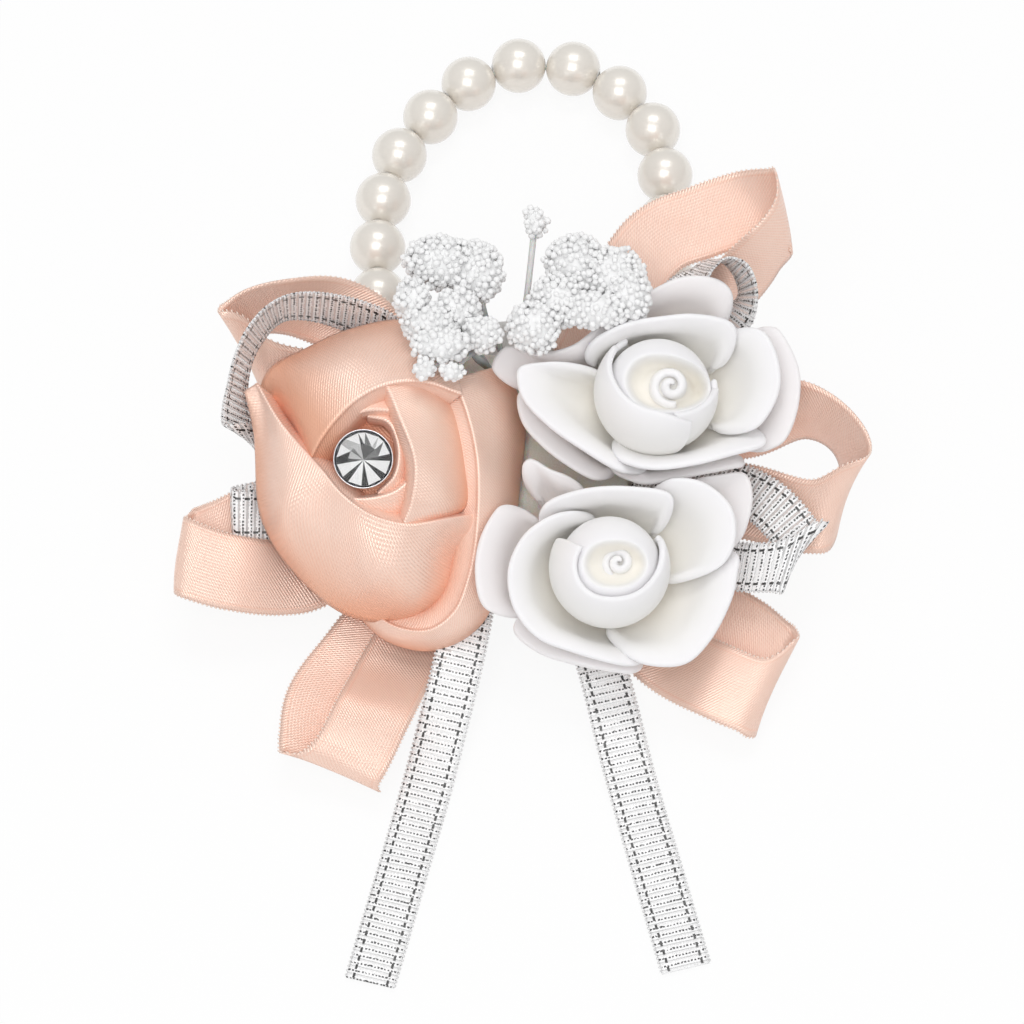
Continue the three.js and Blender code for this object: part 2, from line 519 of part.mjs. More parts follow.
// Foam roses: petals cut from foam sheet, bellied and with rolled rims. Their feet sit on two rings under a
// rolled bud. A petal's rim is a line chosen by hand, and each petal starts inside the end of the one before.
const FOAM_RINGS = {
  inner: { footRadius: [4.5, 6.8], footRise: [2.9, 2.2], belly: 1.6, roll: 0.6 },
  outer: { footRadius: [7.1, 9.3], footRise: [1, 0.4], belly: 1.4, roll: 0.8 },
};
const BELLY = { out: 0.75, down: 0.65, power: 0.8 };
const ROLL = { from: 0.72, down: 0.8 };
const FOAM_ROSES = [
  { name: 'upper', axis: [19, 8],
    inner: [
      [[8.8, 11.7, 15], [4.3, 11.7, 16], [1, 10.8, 16.5], [1.4, 7.2, 16.5], [4.9, 3.4, 16.5],
        [9.6, 0.2, 16.5], [13.7, -2.2, 16], [17, -3.3, 14.6]],
      [[12.3, 0.2, 15], [15, -1.4, 16.5], [18.1, -2.1, 17], [23.7, -1.5, 17], [28.7, -0.2, 16.5],
        [32.3, 0.9, 15.4], [34, 2.4, 14.2]],
      [[29.5, 2, 14.7], [32.3, 3.9, 16.5], [34.4, 7.8, 17], [34.4, 11.4, 17], [33.1, 14.9, 16.5],
        [30.5, 17.4, 15.5]],
      [[29.7, 13.2, 14.5], [28.5, 16.5, 16.5], [23.8, 17.5, 17.5], [19.2, 17.1, 17.5], [15.2, 16.5, 17],
        [11.9, 15.2, 16], [8.6, 13.2, 14.5]],
    ],
    outer: [
      [[31.2, 0.6, 11], [33.4, 0.8, 12.6], [35.4, 1.9, 13.2], [37.2, 6.3, 13.5], [37.3, 11.3, 13.5],
        [34.9, 16.3, 13], [33.2, 17.6, 12.5]],
      [[29, 18.6, 11], [28.6, 21.6, 12.6], [27, 23, 13], [22.7, 23.4, 13], [17.4, 21, 12.5],
        [14.7, 18.7, 11.5]],
      [[17.4, 18.4, 11.5], [12.7, 17.4, 13.5], [8.3, 14.3, 13.5], [4, 13.4, 13], [-0.7, 14.2, 13],
        [-2.5, 11.9, 13], [-2.2, 9.3, 12.4]],
      [[2.6, 10.4, 11.4], [0.9, 7.8, 12.5], [1.5, 4.3, 13], [4, 1.3, 13], [7.3, -1.2, 13], [10.6, -3, 12.8],
        [12.5, -3.2, 12]],
      [[12.2, -1.5, 11.3], [15, -2.9, 12.8], [17.2, -3.6, 13.2], [23.9, -2.5, 13.4], [29.2, -1.5, 13],
        [31, -1.1, 12.3]],
    ],
    bud: { radius: UPPER_BUD_RADIUS, middle: [20.3, 8.5], roll: 2.8,
      opening: [6.3, 5.2, 4.4, 4.2, 4.2, 3.9, 4.2, 5.6],
      wraps: [
        { slant: 40, rim: [[140, 8.6], [165, 7.2], [195, 5.6], [225, 4.6], [255, 4.5], [285, 5], [310, 6]] },
        { slant: 0, rim: [[280, 5.2], [320, 6.2], [350, 7], [380, 8], [400, 8.6]] },
      ] } },
  { name: 'lower', axis: [12.5, -15.5],
    inner: [
      [[9.9, -7.6, 15], [5.6, -9, 17], [1.8, -11.5, 17], [-0.3, -15.8, 17], [0.3, -20.7, 16.5],
        [3.3, -24.5, 16.5], [8.2, -26.4, 16], [13.8, -27.9, 15], [17.8, -28.8, 14]],
      [[20.8, -8.8, 15], [20.1, -6.4, 17], [15.1, -5.6, 17.5], [9.9, -5.8, 17.5], [5.3, -7, 16.5],
        [2.6, -9, 15]],
      [[22.6, -17.3, 14], [27, -15.1, 16.5], [28.5, -11.9, 17], [28, -7.9, 17], [24.7, -4.9, 17],
        [21.1, -4.2, 16.5], [18.2, -4.8, 14.6]],
      [[12.5, -25.7, 13.5], [17.1, -27.9, 15.5], [22, -27.9, 16], [25.1, -25.1, 16], [28.1, -19.4, 16],
        [29, -15.3, 15.5], [29.9, -12.5, 14]],
    ],
    outer: [
      [[-0.5, -6.5, 13], [-2.2, -8.2, 14.6], [-4.1, -11.9, 15.3], [-4.7, -16.2, 15.3], [-3.8, -20.2, 14.8],
        [-1, -22.2, 13.6]],
      [[9.5, -5.2, 11], [7.5, -3.6, 12.2], [5, -2.6, 13], [2.2, -1.2, 13], [0.6, -3, 12.2]],
      [[28.3, -13.9, 11], [30.4, -9.7, 12.5], [31.1, -5.6, 13], [30.2, -3, 12.6], [26.3, -3.2, 12.2],
        [22.5, -3.9, 11.2]],
      [[1.6, -20.6, 11], [0.3, -23.3, 12.4], [3.3, -26.1, 13], [8.2, -27.7, 13], [13.2, -28.6, 12.5],
        [17.2, -29.1, 11.5]],
    ],
    bud: { radius: LOWER_BUD_RADIUS, middle: [13.6, -15.3], roll: 2,
      opening: [5.2, 4, 3.3, 3.2, 3.4, 3.2, 3.3, 4.3],
      wraps: [
        { slant: 20, rim: [
          [150, 8.2], [175, 6.4], [205, 5], [240, 4.4], [275, 4.4], [310, 5], [345, 6.2], [380, 7.2],
          [405, 8]] },
      ] } },
];

function foamPetal(axis, rim, { footRadius, footRise, belly, roll }) {
  const rimLine = smoothLine(rim);
  const surface = (a, b) => {
    const edge = rimLine.getPoint(a);
    const bearing = Math.atan2(edge.y - axis[1], edge.x - axis[0]);
    const radius = THREE.MathUtils.lerp(...footRadius, a);
    const level = FLOWER_SEAT + THREE.MathUtils.lerp(...footRise, a);
    const spoke = new THREE.Vector3(Math.cos(bearing), Math.sin(bearing), 0).multiplyScalar(radius);
    const foot = new THREE.Vector3(...axis, level).add(spoke);
    const outward = edge.clone().sub(foot).setZ(0).normalize();
    const bulge = belly * Math.sin(Math.PI * b ** BELLY.power);
    const rolled = roll * Math.max(0, (b - ROLL.from) / (1 - ROLL.from)) ** 2;
    const point = foot.lerp(edge, b).addScaledVector(outward, BELLY.out * bulge + rolled);
    return point.setZ(point.z - BELLY.down * bulge - ROLL.down * rolled);
  };
  return sheet(surface, FOAM_THICKNESS, 10, 4);
}

// A bud is foam rolled tight: an egg on a stem, open at the top, with wraps over it and a roll in its hollow.
// Its opening is a row of radii, evenly round the bud.
const BUD_EQUATOR = FLOWER_SEAT + BUD_EQUATOR_RISE;
const BUD_FOOT_SLOPE = THREE.MathUtils.degToRad(-57);
const WRAP_FOOT_SLOPE = THREE.MathUtils.degToRad(-36);
const WRAP_GRIP = 0.5;
const WRAP_THICKNESS = 1.0;
const BUD_ROLL = { thickness: 0.9, core: 0.35, turns: 1.35, heading: 0.6, sink: 0.6, belly: 0.2 };
const BUD_SIDE_STEPS = [0, 0.2, 0.4, 0.6, 0.8, 1];
const BUD_HOLLOW_STEPS = [[0.14, 0.15], [0.4, 0.6], [0.8, 0.95]];

function eggPoint(axis, radius, offset, bearing, slope) {
  const flat = (radius + offset) * Math.cos(slope);
  const rise = (slope > 0 ? BUD_RISE : BUD_FALL) + offset;
  const spoke = new THREE.Vector3(Math.cos(bearing), Math.sin(bearing), 0).multiplyScalar(flat);
  return new THREE.Vector3(...axis, BUD_EQUATOR + rise * Math.sin(slope)).add(spoke);
}

const slopeAt = (reach, radius) => Math.acos(Math.min(1, reach / radius));

function budEgg(axis, { radius, opening, middle }) {
  const reachAt = (bearing) => {
    const place = (bearing / (2 * Math.PI)) * opening.length;
    const before = Math.floor(place);
    const after = (before + 1) % opening.length;
    return THREE.MathUtils.lerp(opening[before % opening.length], opening[after], place - before);
  };
  const heart = new THREE.Vector3(...middle, 0);
  return turnedBody((bearing) => {
    const spoke = new THREE.Vector3(Math.cos(bearing), Math.sin(bearing), 0).multiplyScalar(BUD_STEM_RADIUS);
    const stem = new THREE.Vector3(...axis, FLOWER_SEAT).add(spoke);
    const top = slopeAt(reachAt(bearing), radius);
    const side = BUD_SIDE_STEPS.map((share) => (
      eggPoint(axis, radius, 0, bearing, THREE.MathUtils.lerp(BUD_FOOT_SLOPE, top, share))));
    const rim = side.at(-1);
    const hollow = BUD_HOLLOW_STEPS.map(([inward, sink]) => (
      rim.clone().lerp(heart, inward).setZ(rim.z - sink * BUD_HOLLOW)));
    return [stem, ...side, ...hollow];
  }, 24);
}

function budWrap(axis, radius, { rim, slant }) {
  const line = smoothLine(rim.map(([bearing, reach]) => [bearing, reach, 0]));
  const shell = (offset) => (a, b) => {
    const { x: bearing, y: reach } = line.getPoint(a);
    const slope = THREE.MathUtils.lerp(WRAP_FOOT_SLOPE, slopeAt(reach, radius + offset), b);
    const turned = THREE.MathUtils.degToRad(bearing - slant * (1 - b) * a ** 3);
    return eggPoint(axis, radius, offset, turned, slope);
  };
  return slab(shell(WRAP_THICKNESS), shell(-WRAP_GRIP), 14, 5);
}

function budRoll([u, v], radius) {
  const surface = (a, b) => {
    const angle = BUD_ROLL.heading + a * BUD_ROLL.turns * 2 * Math.PI;
    const swell = 1 + BUD_ROLL.belly * Math.sin(Math.PI * b);
    const flat = THREE.MathUtils.lerp(BUD_ROLL.core, radius, a) * swell;
    const level = BUD_EQUATOR - BUD_ROLL.sink + BUD_ROLL_HEIGHT * b;
    return new THREE.Vector3(u + flat * Math.cos(angle), v + flat * Math.sin(angle), level);
  };
  return sheet(surface, BUD_ROLL.thickness, 16, 2);
}

function makeFoamRose({ name, axis, inner, outer, bud }) {
  const petals = (list, ring) => list.map((rim, i) => (
    piece(`${name}_${ring}_petal_${i + 1}`, foamPetal(axis, rim, FOAM_RINGS[ring]), 'foam')));
  const wraps = bud.wraps.map((wrap) => budWrap(axis, bud.radius, wrap));
  const rolled = join([budEgg(axis, bud), ...wraps, budRoll(bud.middle, bud.roll)]);
  return [piece(`${name}_bud`, rolled, 'foam'), ...petals(inner, 'inner'), ...petals(outer, 'outer')];
}

// Stamen sprigs: stems that part at an elbow, each with a lump of beads at its tip. A lump is its centre
// and its three radii.
const SPRIGS = [
  { root: [-1.5, 14], elbow: [-4, 19, 9], lumps: [
    [[-10, 25.7, 13], [4.6, 3.4, 2.6]], [[-5, 24.3, 13], [3.2, 3.9, 2.6]]] },
  { root: [0.5, 15.5], elbow: [1.5, 21, 9], lumps: [
    [[2.7, 31.3, 12], [1.2, 1.9, 1.2]]] },
  { root: [3, 15.5], elbow: [5.5, 20, 10], lumps: [
    [[8, 25.7, 13], [3.7, 3.5, 2.5]], [[13, 23.9, 13], [4.2, 3.6, 2.4]], [[15.3, 20.6, 15], [2.6, 3.6, 2.2]],
    [[10.6, 18.6, 15.4], [4.2, 2.2, 1.8]], [[6, 20.3, 14], [4, 3.4, 2.4]],
    [[2.4, 16.4, 15.4], [3.3, 3.2, 2.2]]] },
  { root: [-3.5, 12.5], elbow: [-5.5, 13.5, 12], lumps: [
    [[-13.7, 20.3, 14.5], [2.2, 2.7, 2]], [[-11.3, 16.6, 16], [3.5, 2.5, 2.2]],
    [[-9.9, 13.5, 18.5], [3.7, 2.1, 1.8]], [[-11.9, 10.1, 19.3], [1.3, 1.1, 1]],
    [[-8.3, 9.8, 19.3], [1.3, 1, 1]], [[-4.4, 15.3, 16], [2.4, 2.2, 2]]] },
];

function stamenSprig({ root, elbow, lumps }) {
  const ring = new THREE.Shape().absarc(0, 0, STEM_DIAMETER / 2, 0, 2 * Math.PI);
  const stem = (from, to) => {
    const extrudePath = new THREE.LineCurve3(vector(from), vector(to));
    return new THREE.ExtrudeGeometry(ring, { extrudePath, steps: 1, curveSegments: 3 });
  };
  const knob = new THREE.IcosahedronGeometry(STEM_DIAMETER, 0).translate(...elbow);
  const branches = lumps.map(([at]) => stem(elbow, at));
  const beads = lumps.map(([at, radii]) => (
    new THREE.IcosahedronGeometry(1, 1).scale(...radii).translate(...at)));
  return join([stem([...root, FLOWER_SEAT], elbow), knob, ...branches, ...beads]);
}

head.add(...makeFelts(), makeGlue());
head.add(...makeLoops(SATIN_LOOPS, 'satin_loop', SATIN_WIDTH, SATIN_THICKNESS, 'satin'));
head.add(...makeLoops(SILVER_LOOPS, 'silver_loop', SILVER_WIDTH, SILVER_THICKNESS, 'silver'));
head.add(makeSatinRose(), ...makeStone());
head.add(...FOAM_ROSES.flatMap(makeFoamRose));
head.add(...SPRIGS.map((sprig, i) => piece(`stamen_sprig_${i + 1}`, stamenSprig(sprig), 'stamen')));
table.add(makeCord(), ...makePearls(), ...makeTails());

// The origin is at the middle of the footprint, on the table
const corsage = new THREE.Group();
corsage.add(head, table);
corsage.updateMatrixWorld(true);
const box = new THREE.Box3().setFromObject(corsage, true);
const middle = box.getCenter(new THREE.Vector3());
corsage.position.set(-middle.x, -middle.y, -box.min.z);

export default corsage;
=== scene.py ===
# %% [markdown]
# # A wrist corsage, piece by piece
# A wrist corsage is a small bouquet on a bracelet. This one has a satin rose with a stone in its eye, two
# foam roses, white stamens and ribbon loops, all glued to a felt disc, and a stretch bracelet of pearls.
# The rigid frame comes first: every piece we make in Blender then sits on a part that already has its
# place.

# %% Load the frame
import math
import random

import bmesh
import bpy
import numpy as np
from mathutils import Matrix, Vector


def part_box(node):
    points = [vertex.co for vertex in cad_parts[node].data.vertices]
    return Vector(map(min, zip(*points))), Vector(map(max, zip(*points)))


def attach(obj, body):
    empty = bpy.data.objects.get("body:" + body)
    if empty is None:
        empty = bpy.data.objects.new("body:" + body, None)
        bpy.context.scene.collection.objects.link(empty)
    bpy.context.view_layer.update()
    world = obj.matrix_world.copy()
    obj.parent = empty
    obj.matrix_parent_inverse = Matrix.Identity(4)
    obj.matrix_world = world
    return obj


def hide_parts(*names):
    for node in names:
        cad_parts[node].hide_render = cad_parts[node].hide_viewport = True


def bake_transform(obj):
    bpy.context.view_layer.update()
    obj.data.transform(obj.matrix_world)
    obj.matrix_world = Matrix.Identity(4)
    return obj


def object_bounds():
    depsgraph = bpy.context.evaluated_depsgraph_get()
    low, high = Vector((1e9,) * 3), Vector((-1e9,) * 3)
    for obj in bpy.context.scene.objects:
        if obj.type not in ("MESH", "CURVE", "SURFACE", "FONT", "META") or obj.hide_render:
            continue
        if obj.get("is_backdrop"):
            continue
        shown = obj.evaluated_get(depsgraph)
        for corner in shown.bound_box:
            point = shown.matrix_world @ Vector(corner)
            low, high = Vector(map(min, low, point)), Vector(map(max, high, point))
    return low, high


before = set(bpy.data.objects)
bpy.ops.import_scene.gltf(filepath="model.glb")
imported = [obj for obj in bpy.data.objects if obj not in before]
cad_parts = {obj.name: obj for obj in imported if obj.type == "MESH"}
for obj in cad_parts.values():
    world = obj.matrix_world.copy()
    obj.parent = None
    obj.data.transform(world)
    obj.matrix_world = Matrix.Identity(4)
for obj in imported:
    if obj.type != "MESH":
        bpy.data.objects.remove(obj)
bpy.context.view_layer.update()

# %% [markdown]
# ## Two ways to say where something is
# The flower head leans back on the bracelet, so its pieces are easiest to describe in the felt's own
# directions: to the right, up the felt, and out of it. The pieces on the table use plain table
# directions. Both helpers turn millimetres into the metres of the frame. The felt disc itself tells us
# where the head is.

# %% Head and table coordinates
MM = 0.001
HEAD_TILT = math.radians(22)
HEAD_HEIGHT = 10.0
FELT_THICKNESS = 1.6


def lean(points):
    right, up, out = np.moveaxis(np.asarray(points, float), -1, 0)
    c, s = math.cos(HEAD_TILT), math.sin(HEAD_TILT)
    return np.stack([right, up * c - out * s, HEAD_HEIGHT + up * s + out * c], -1)


felt_low, felt_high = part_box("base_felt")
SHIFT = np.array((felt_low + felt_high) / 2) / MM - lean([0, 0, -FELT_THICKNESS / 2])


def on_head(points):
    return (lean(points) + SHIFT) * MM


def on_table(points):
    return (np.asarray(points, float) + SHIFT) * MM


print("head's place in mm:", np.round(SHIFT, 2))

# %% [markdown]
# ## Camera
# The pearls are all the same size, so their circles in the picture give the camera away: how high it
# stood, how far off, and how long its lens was. We set those three numbers and aim at one point on the
# table.

# %% Camera
CAMERA_ELEVATION = math.radians(61.2)
CAMERA_DISTANCE = 516.4
FOCAL_LENGTH_PIXELS = 3727.5
IMAGE_PIXELS = 1024
SENSOR_WIDTH = 36.0
AIM_POINT = [-0.409, -1.819, 0]

aim = Vector(on_table(AIM_POINT))
back = Vector((0, -math.cos(CAMERA_ELEVATION), math.sin(CAMERA_ELEVATION)))
camera = bpy.data.objects.new("camera", bpy.data.cameras.new("camera"))
camera.data.sensor_width = SENSOR_WIDTH
camera.data.lens = FOCAL_LENGTH_PIXELS / IMAGE_PIXELS * SENSOR_WIDTH
camera.location = aim + back * CAMERA_DISTANCE * MM
camera.rotation_euler = (-back).to_track_quat("-Z", "Y").to_euler()
camera.data.clip_start = 0.01
bpy.context.scene.collection.objects.link(camera)
bpy.context.scene.camera = camera
print("lens in mm:", round(camera.data.lens, 1))

# %% [markdown]
# ## Making meshes from rows of points
# Nearly everything here is a thin sheet: ribbon, folded satin, foam. So one helper does most of the work.
# It takes a grid of points for the middle of the sheet and half its thickness, and returns a closed skin
# around it. A modifier could thicken a flat grid too, but with our own skin the rim can be rounded point
# by point.

# %% Grids and sheets
def grid_faces(rows, columns, start=0):
    i, j = np.meshgrid(np.arange(rows - 1), np.arange(columns - 1), indexing="ij")
    corner = start + (i * columns + j).ravel()
    return np.stack([corner, corner + columns, corner + columns + 1, corner + 1], -1)


def grid_normals(points):
    along = np.gradient(points, axis=0)
    across = np.gradient(points, axis=1)
    normals = np.cross(along, across)
    return normals / np.maximum(np.linalg.norm(normals, axis=-1, keepdims=True), 1e-12)


def sheet_skin(middle, half):
    rows, columns = middle.shape[:2]
    normals = grid_normals(middle)
    offset = normals * np.broadcast_to(half, (rows, columns))[..., None]
    count = rows * columns
    front = grid_faces(rows, columns)
    reverse = grid_faces(rows, columns, count)[:, ::-1]
    number = np.arange(count).reshape(rows, columns)
    ring = np.concatenate([number[0], number[1:, -1], number[-1, -2::-1], number[-2:0:-1, 0]])
    after = np.roll(ring, -1)
    border = np.stack([ring, after, after + count, ring + count], -1)
    vertices = np.concatenate([(middle + offset).reshape(-1, 3), (middle - offset).reshape(-1, 3)])
    return vertices, np.concatenate([front, reverse, border])


print("faces of a sheet of 3 by 4 points:", len(sheet_skin(np.zeros((3, 4, 3)), 0.1)[1]))

# %% Tubes and turned pieces
OFF_AXIS = [0.31, 0.17, 0.93]


def unit(rows):
    return rows / np.linalg.norm(rows, axis=-1, keepdims=True)


def circle(sides):
    turn = np.linspace(0, 2 * math.pi, sides, endpoint=False)
    return np.cos(turn), np.sin(turn)


def ring_faces(rows, sides):
    i, k = np.meshgrid(np.arange(rows - 1), np.arange(sides), indexing="ij")
    a, b = (i * sides + k).ravel(), (i * sides + (k + 1) % sides).ravel()
    return np.stack([a, b, b + sides, a + sides], -1)


def capped_faces(rows, sides):
    last = (rows - 1) * sides
    return ring_faces(rows, sides).tolist() + [list(range(sides))[::-1], list(range(last, last + sides))]


def tube_skin(line, radius, sides):
    tangent = unit(np.gradient(line, axis=0))
    side = unit(np.cross(tangent, OFF_AXIS))
    other = np.cross(tangent, side)
    c, s = circle(sides)
    ring = c[:, None] * side[:, None] + s[:, None] * other[:, None]
    return (line[:, None] + ring * radius).reshape(-1, 3), capped_faces(len(line), sides)


def lathe_skin(profile, sides):
    profile = np.asarray(profile, float)
    flat = profile[:, None, :1] * np.stack(circle(sides), -1)[None]
    height = np.broadcast_to(profile[:, None, 1:], (len(profile), sides, 1))
    return np.concatenate([flat, height], -1).reshape(-1, 3), capped_faces(len(profile), sides)


print("faces of a tube of 5 rings and 8 sides:", len(capped_faces(5, 8)))

# %% From skins to pieces
def join_skins(skins):
    vertices, faces, start = [], [], 0
    for points, polygons in skins:
        vertices.append(points)
        faces += [[int(k) + start for k in polygon] for polygon in polygons]
        start += len(points)
    return np.concatenate(vertices), faces


def add_piece(name, skin, materials, slot, body="flower_head", replaces=(), uv=None, tone=None, choice=None):
    points, faces = skin
    mesh = bpy.data.meshes.new(name)
    mesh.from_pydata([tuple(p) for p in points], [], [list(map(int, f)) for f in faces])
    mesh.validate()
    mesh.polygons.foreach_set("use_smooth", [True] * len(mesh.polygons))
    for material in materials:
        mesh.materials.append(material)
    if choice is not None:
        mesh.polygons.foreach_set("material_index", list(map(int, choice)))
    if uv is not None:
        corner = np.zeros(len(mesh.loops), int)
        mesh.loops.foreach_get("vertex_index", corner)
        mesh.uv_layers.new(name="cloth").data.foreach_set("uv", np.asarray(uv, float)[corner].ravel())
    if tone is not None:
        mesh.attributes.new("tone", "FLOAT", "POINT").data.foreach_set("value", np.asarray(tone, float))
    piece = bpy.data.objects.new(name, mesh)
    bpy.context.scene.collection.objects.link(piece)
    if body:
        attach(piece, body)
    if replaces:
        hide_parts(*replaces)
    return piece


def head_piece(name, skin, materials, slot, **more):
    return add_piece(name, (on_head(skin[0]), skin[1]), materials, slot, **more)


# %% [markdown]
# ## Smooth lines
# A rim, a fold or a ribbon's path is drawn with a few points. An interpolating spline passes
# through every one of them without overshooting much, which makes it easy to steer. A curve with handles
# would be smoother still, but each point would then need two more numbers.

# %% Smooth lines through chosen points
def smooth_line(points, share):
    points = np.asarray(points, float)
    whole = np.concatenate([[2 * points[0] - points[1]], points, [2 * points[-1] - points[-2]]])
    place = np.clip(np.asarray(share, float), 0, 1) * (len(points) - 1)
    k = np.minimum(place.astype(int), len(points) - 2)
    t = (place - k)[:, None]
    p0, p1, p2, p3 = whole[k], whole[k + 1], whole[k + 2], whole[k + 3]
    gap = [np.maximum(np.linalg.norm(b - a, axis=1, keepdims=True), 1e-6) ** 0.5
           for a, b in ((p0, p1), (p1, p2), (p2, p3))]
    m1 = ((p1 - p0) / gap[0] - (p2 - p0) / (gap[0] + gap[1]) + (p2 - p1) / gap[1]) * gap[1]
    m2 = ((p2 - p1) / gap[1] - (p3 - p1) / (gap[1] + gap[2]) + (p3 - p2) / gap[2]) * gap[1]
    c2 = -3 * p1 + 3 * p2 - 2 * m1 - m2
    c3 = 2 * p1 - 2 * p2 + m1 + m2
    return p1 + m1 * t + c2 * t ** 2 + c3 * t ** 3


def blend_values(values, share):
    return smooth_line([[v, i, 0] for i, v in enumerate(values)], share)[:, 0]


print("a smooth line halfway:", smooth_line([[0, 0, 0], [1, 1, 0], [2, 0, 0]], [0.5])[0])

# %% [markdown]
# ## Finishes
# Each finish starts from the Principled shader. Constants go straight onto its sockets, and nodes are
# only added for what changes over the surface: weave, tint and fine relief. Many finishes need no more
# than a speckle, one noise that drives both a small bump and a little change of colour, so the helper has
# that ready.

# %% Node helper
class Finish:
    def __init__(self, name, colour, roughness, **sockets):
        self.material = bpy.data.materials.new(name)
        self.material.use_nodes = True
        self.nodes = self.material.node_tree.nodes
        self.links = self.material.node_tree.links
        self.shader = self.nodes["Principled BSDF"]
        self.shader.inputs["Base Color"].default_value = (*colour, 1)
        self.shader.inputs["Roughness"].default_value = roughness
        for socket, value in sockets.items():
            self.shader.inputs[socket.replace("_", " ")].default_value = value

    def node(self, kind, **settings):
        made = self.nodes.new(kind)
        for name, value in settings.items():
            if hasattr(made, name) and name not in made.inputs:
                setattr(made, name, value)
            else:
                self.wire(value, made.inputs[name.replace("_", " ")])
        return made

    def wire(self, value, socket):
        if isinstance(value, bpy.types.NodeSocket):
            self.links.new(value, socket)
        else:
            socket.default_value = value

    def math(self, operation, first, second=0.0):
        made = self.nodes.new("ShaderNodeMath")
        made.operation = operation
        self.wire(first, made.inputs[0])
        self.wire(second, made.inputs[1])
        return made.outputs[0]

    def wave(self, place, pitch):
        return self.math("SINE", self.math("MULTIPLY", place, 2 * math.pi / pitch))

    def ramp(self, value, stops):
        made = self.nodes.new("ShaderNodeValToRGB")
        self.links.new(value, made.inputs["Fac"])
        while len(made.color_ramp.elements) < len(stops):
            made.color_ramp.elements.new(0.5)
        for element, (place, colour) in zip(made.color_ramp.elements, stops):
            element.position = place
            element.color = (*colour, 1)
        return made.outputs["Color"]

    def bump(self, height, strength, distance):
        made = self.nodes.new("ShaderNodeBump")
        made.inputs["Strength"].default_value = strength
        made.inputs["Distance"].default_value = distance
        self.links.new(height, made.inputs["Height"])
        self.links.new(made.outputs["Normal"], self.shader.inputs["Normal"])

    def paint(self, colour):
        self.links.new(colour, self.shader.inputs["Base Color"])

    def speckle(self, stops, strength, distance, **noise):
        grain = self.node("ShaderNodeTexNoise", **noise).outputs["Fac"]
        self.bump(grain, strength, distance)
        self.paint(self.ramp(grain, stops))


# %% [markdown]
# ## Satin
# Satin shines because its warp threads float over several wefts at a time. Up close it is a field of fine
# lengthwise ridges, stepped like twill. The cloth's own millimetre coordinates drive two waves, one per
# thread direction, and their product gives the stepped ridges. The ribbon also has a woven selvedge line
# near each edge. A value stored with each fold says how closed it is there, and closed folds are painted a
# deeper peach: painted shade for the dim, bounced light deep in a fold.

# %% Satin finish
THREAD = 0.42
TWILL_SLANT = 0.8
CROSSING = 0.7
SLUB_HEIGHT = 1.5
SLUB_TINT, THREAD_TINT, MIDDLE_TINT = 0.3, 0.14, 0.55
SELVEDGE_LINE, SELVEDGE_HALF = 4.25, 0.13
SELVEDGE_DIP, SELVEDGE_TINT = 4.0, 0.2
PEACH = (0.985, 0.72, 0.605)
PEACH_SHADE = (0.955, 0.62, 0.495)
# Deep peach used as painted shade inside closed folds
PEACH_PAINTED_SHADE = (0.86, 0.42, 0.26)


def satin_finish(name, selvedge=False):
    made = Finish(name, PEACH, 0.3, Metallic=0.32, Anisotropic=0.6, Sheen_Weight=0.25, Sheen_Roughness=0.3,
                  Specular_IOR_Level=0.6)
    made.shader.inputs["Sheen Tint"].default_value = (1.0, 0.9, 0.86, 1)
    cloth = made.node("ShaderNodeUVMap", uv_map="cloth").outputs["UV"]
    split = made.node("ShaderNodeSeparateXYZ", Vector=cloth)
    across, along = split.outputs["X"], split.outputs["Y"]
    warp = made.wave(across, THREAD)
    twill = made.wave(made.math("ADD", along, made.math("MULTIPLY", across, TWILL_SLANT)), THREAD)
    stepped = made.math("ADD", twill, made.math("MULTIPLY", made.math("MULTIPLY", warp, twill), CROSSING))
    slub = made.node("ShaderNodeTexNoise", Vector=cloth, Scale=0.35, Detail=3.0).outputs["Fac"]
    height = made.math("ADD", stepped, made.math("MULTIPLY", slub, SLUB_HEIGHT))
    mottle = made.math("MULTIPLY", made.math("SUBTRACT", slub, 0.5), SLUB_TINT)
    mixed = made.math("ADD", made.math("MULTIPLY", stepped, THREAD_TINT),
                      made.math("ADD", mottle, MIDDLE_TINT))
    if selvedge:
        from_line = made.math("SUBTRACT", made.math("ABSOLUTE", across), SELVEDGE_LINE)
        woven = made.math("LESS_THAN", made.math("ABSOLUTE", from_line), SELVEDGE_HALF)
        height = made.math("SUBTRACT", height, made.math("MULTIPLY", woven, SELVEDGE_DIP))
        mixed = made.math("SUBTRACT", mixed, made.math("MULTIPLY", woven, SELVEDGE_TINT))
    made.bump(height, 0.32, 0.0001)
    # Painted shade: where the stored value says a fold is closed, a deep peach is mixed into the colour
    # On a colour mix, inputs 6 and 7 are its two colours and output 2 is the result
    paint_fold_shade = made.node("ShaderNodeMix", data_type="RGBA")
    made.wire(made.node("ShaderNodeAttribute", attribute_name="tone").outputs["Fac"], paint_fold_shade.inputs[0])
    made.wire(made.ramp(mixed, [(0.3, PEACH_SHADE), (0.62, PEACH)]), paint_fold_shade.inputs[6])
    paint_fold_shade.inputs[7].default_value = (*PEACH_PAINTED_SHADE, 1)
    made.paint(paint_fold_shade.outputs[2])
    made.wire(made.node("ShaderNodeTangent", direction_type="UV_MAP", uv_map="cloth").outputs["Tangent"],
              made.shader.inputs["Tangent"])
    return made.material


satin = satin_finish("peach_satin")
ribbon_satin = satin_finish("peach_ribbon", selvedge=True)
picot = Finish("picot_thread", (0.95, 0.78, 0.69), 0.5, Sheen_Weight=0.3)
picot.speckle([(0.35, (0.93, 0.72, 0.61)), (0.65, (0.96, 0.83, 0.75))], 0.3, 0.0001,
              Scale=4000.0, Detail=2.0)
print("satin nodes:", len(satin.node_tree.nodes), "with selvedge:", len(ribbon_satin.node_tree.nodes))

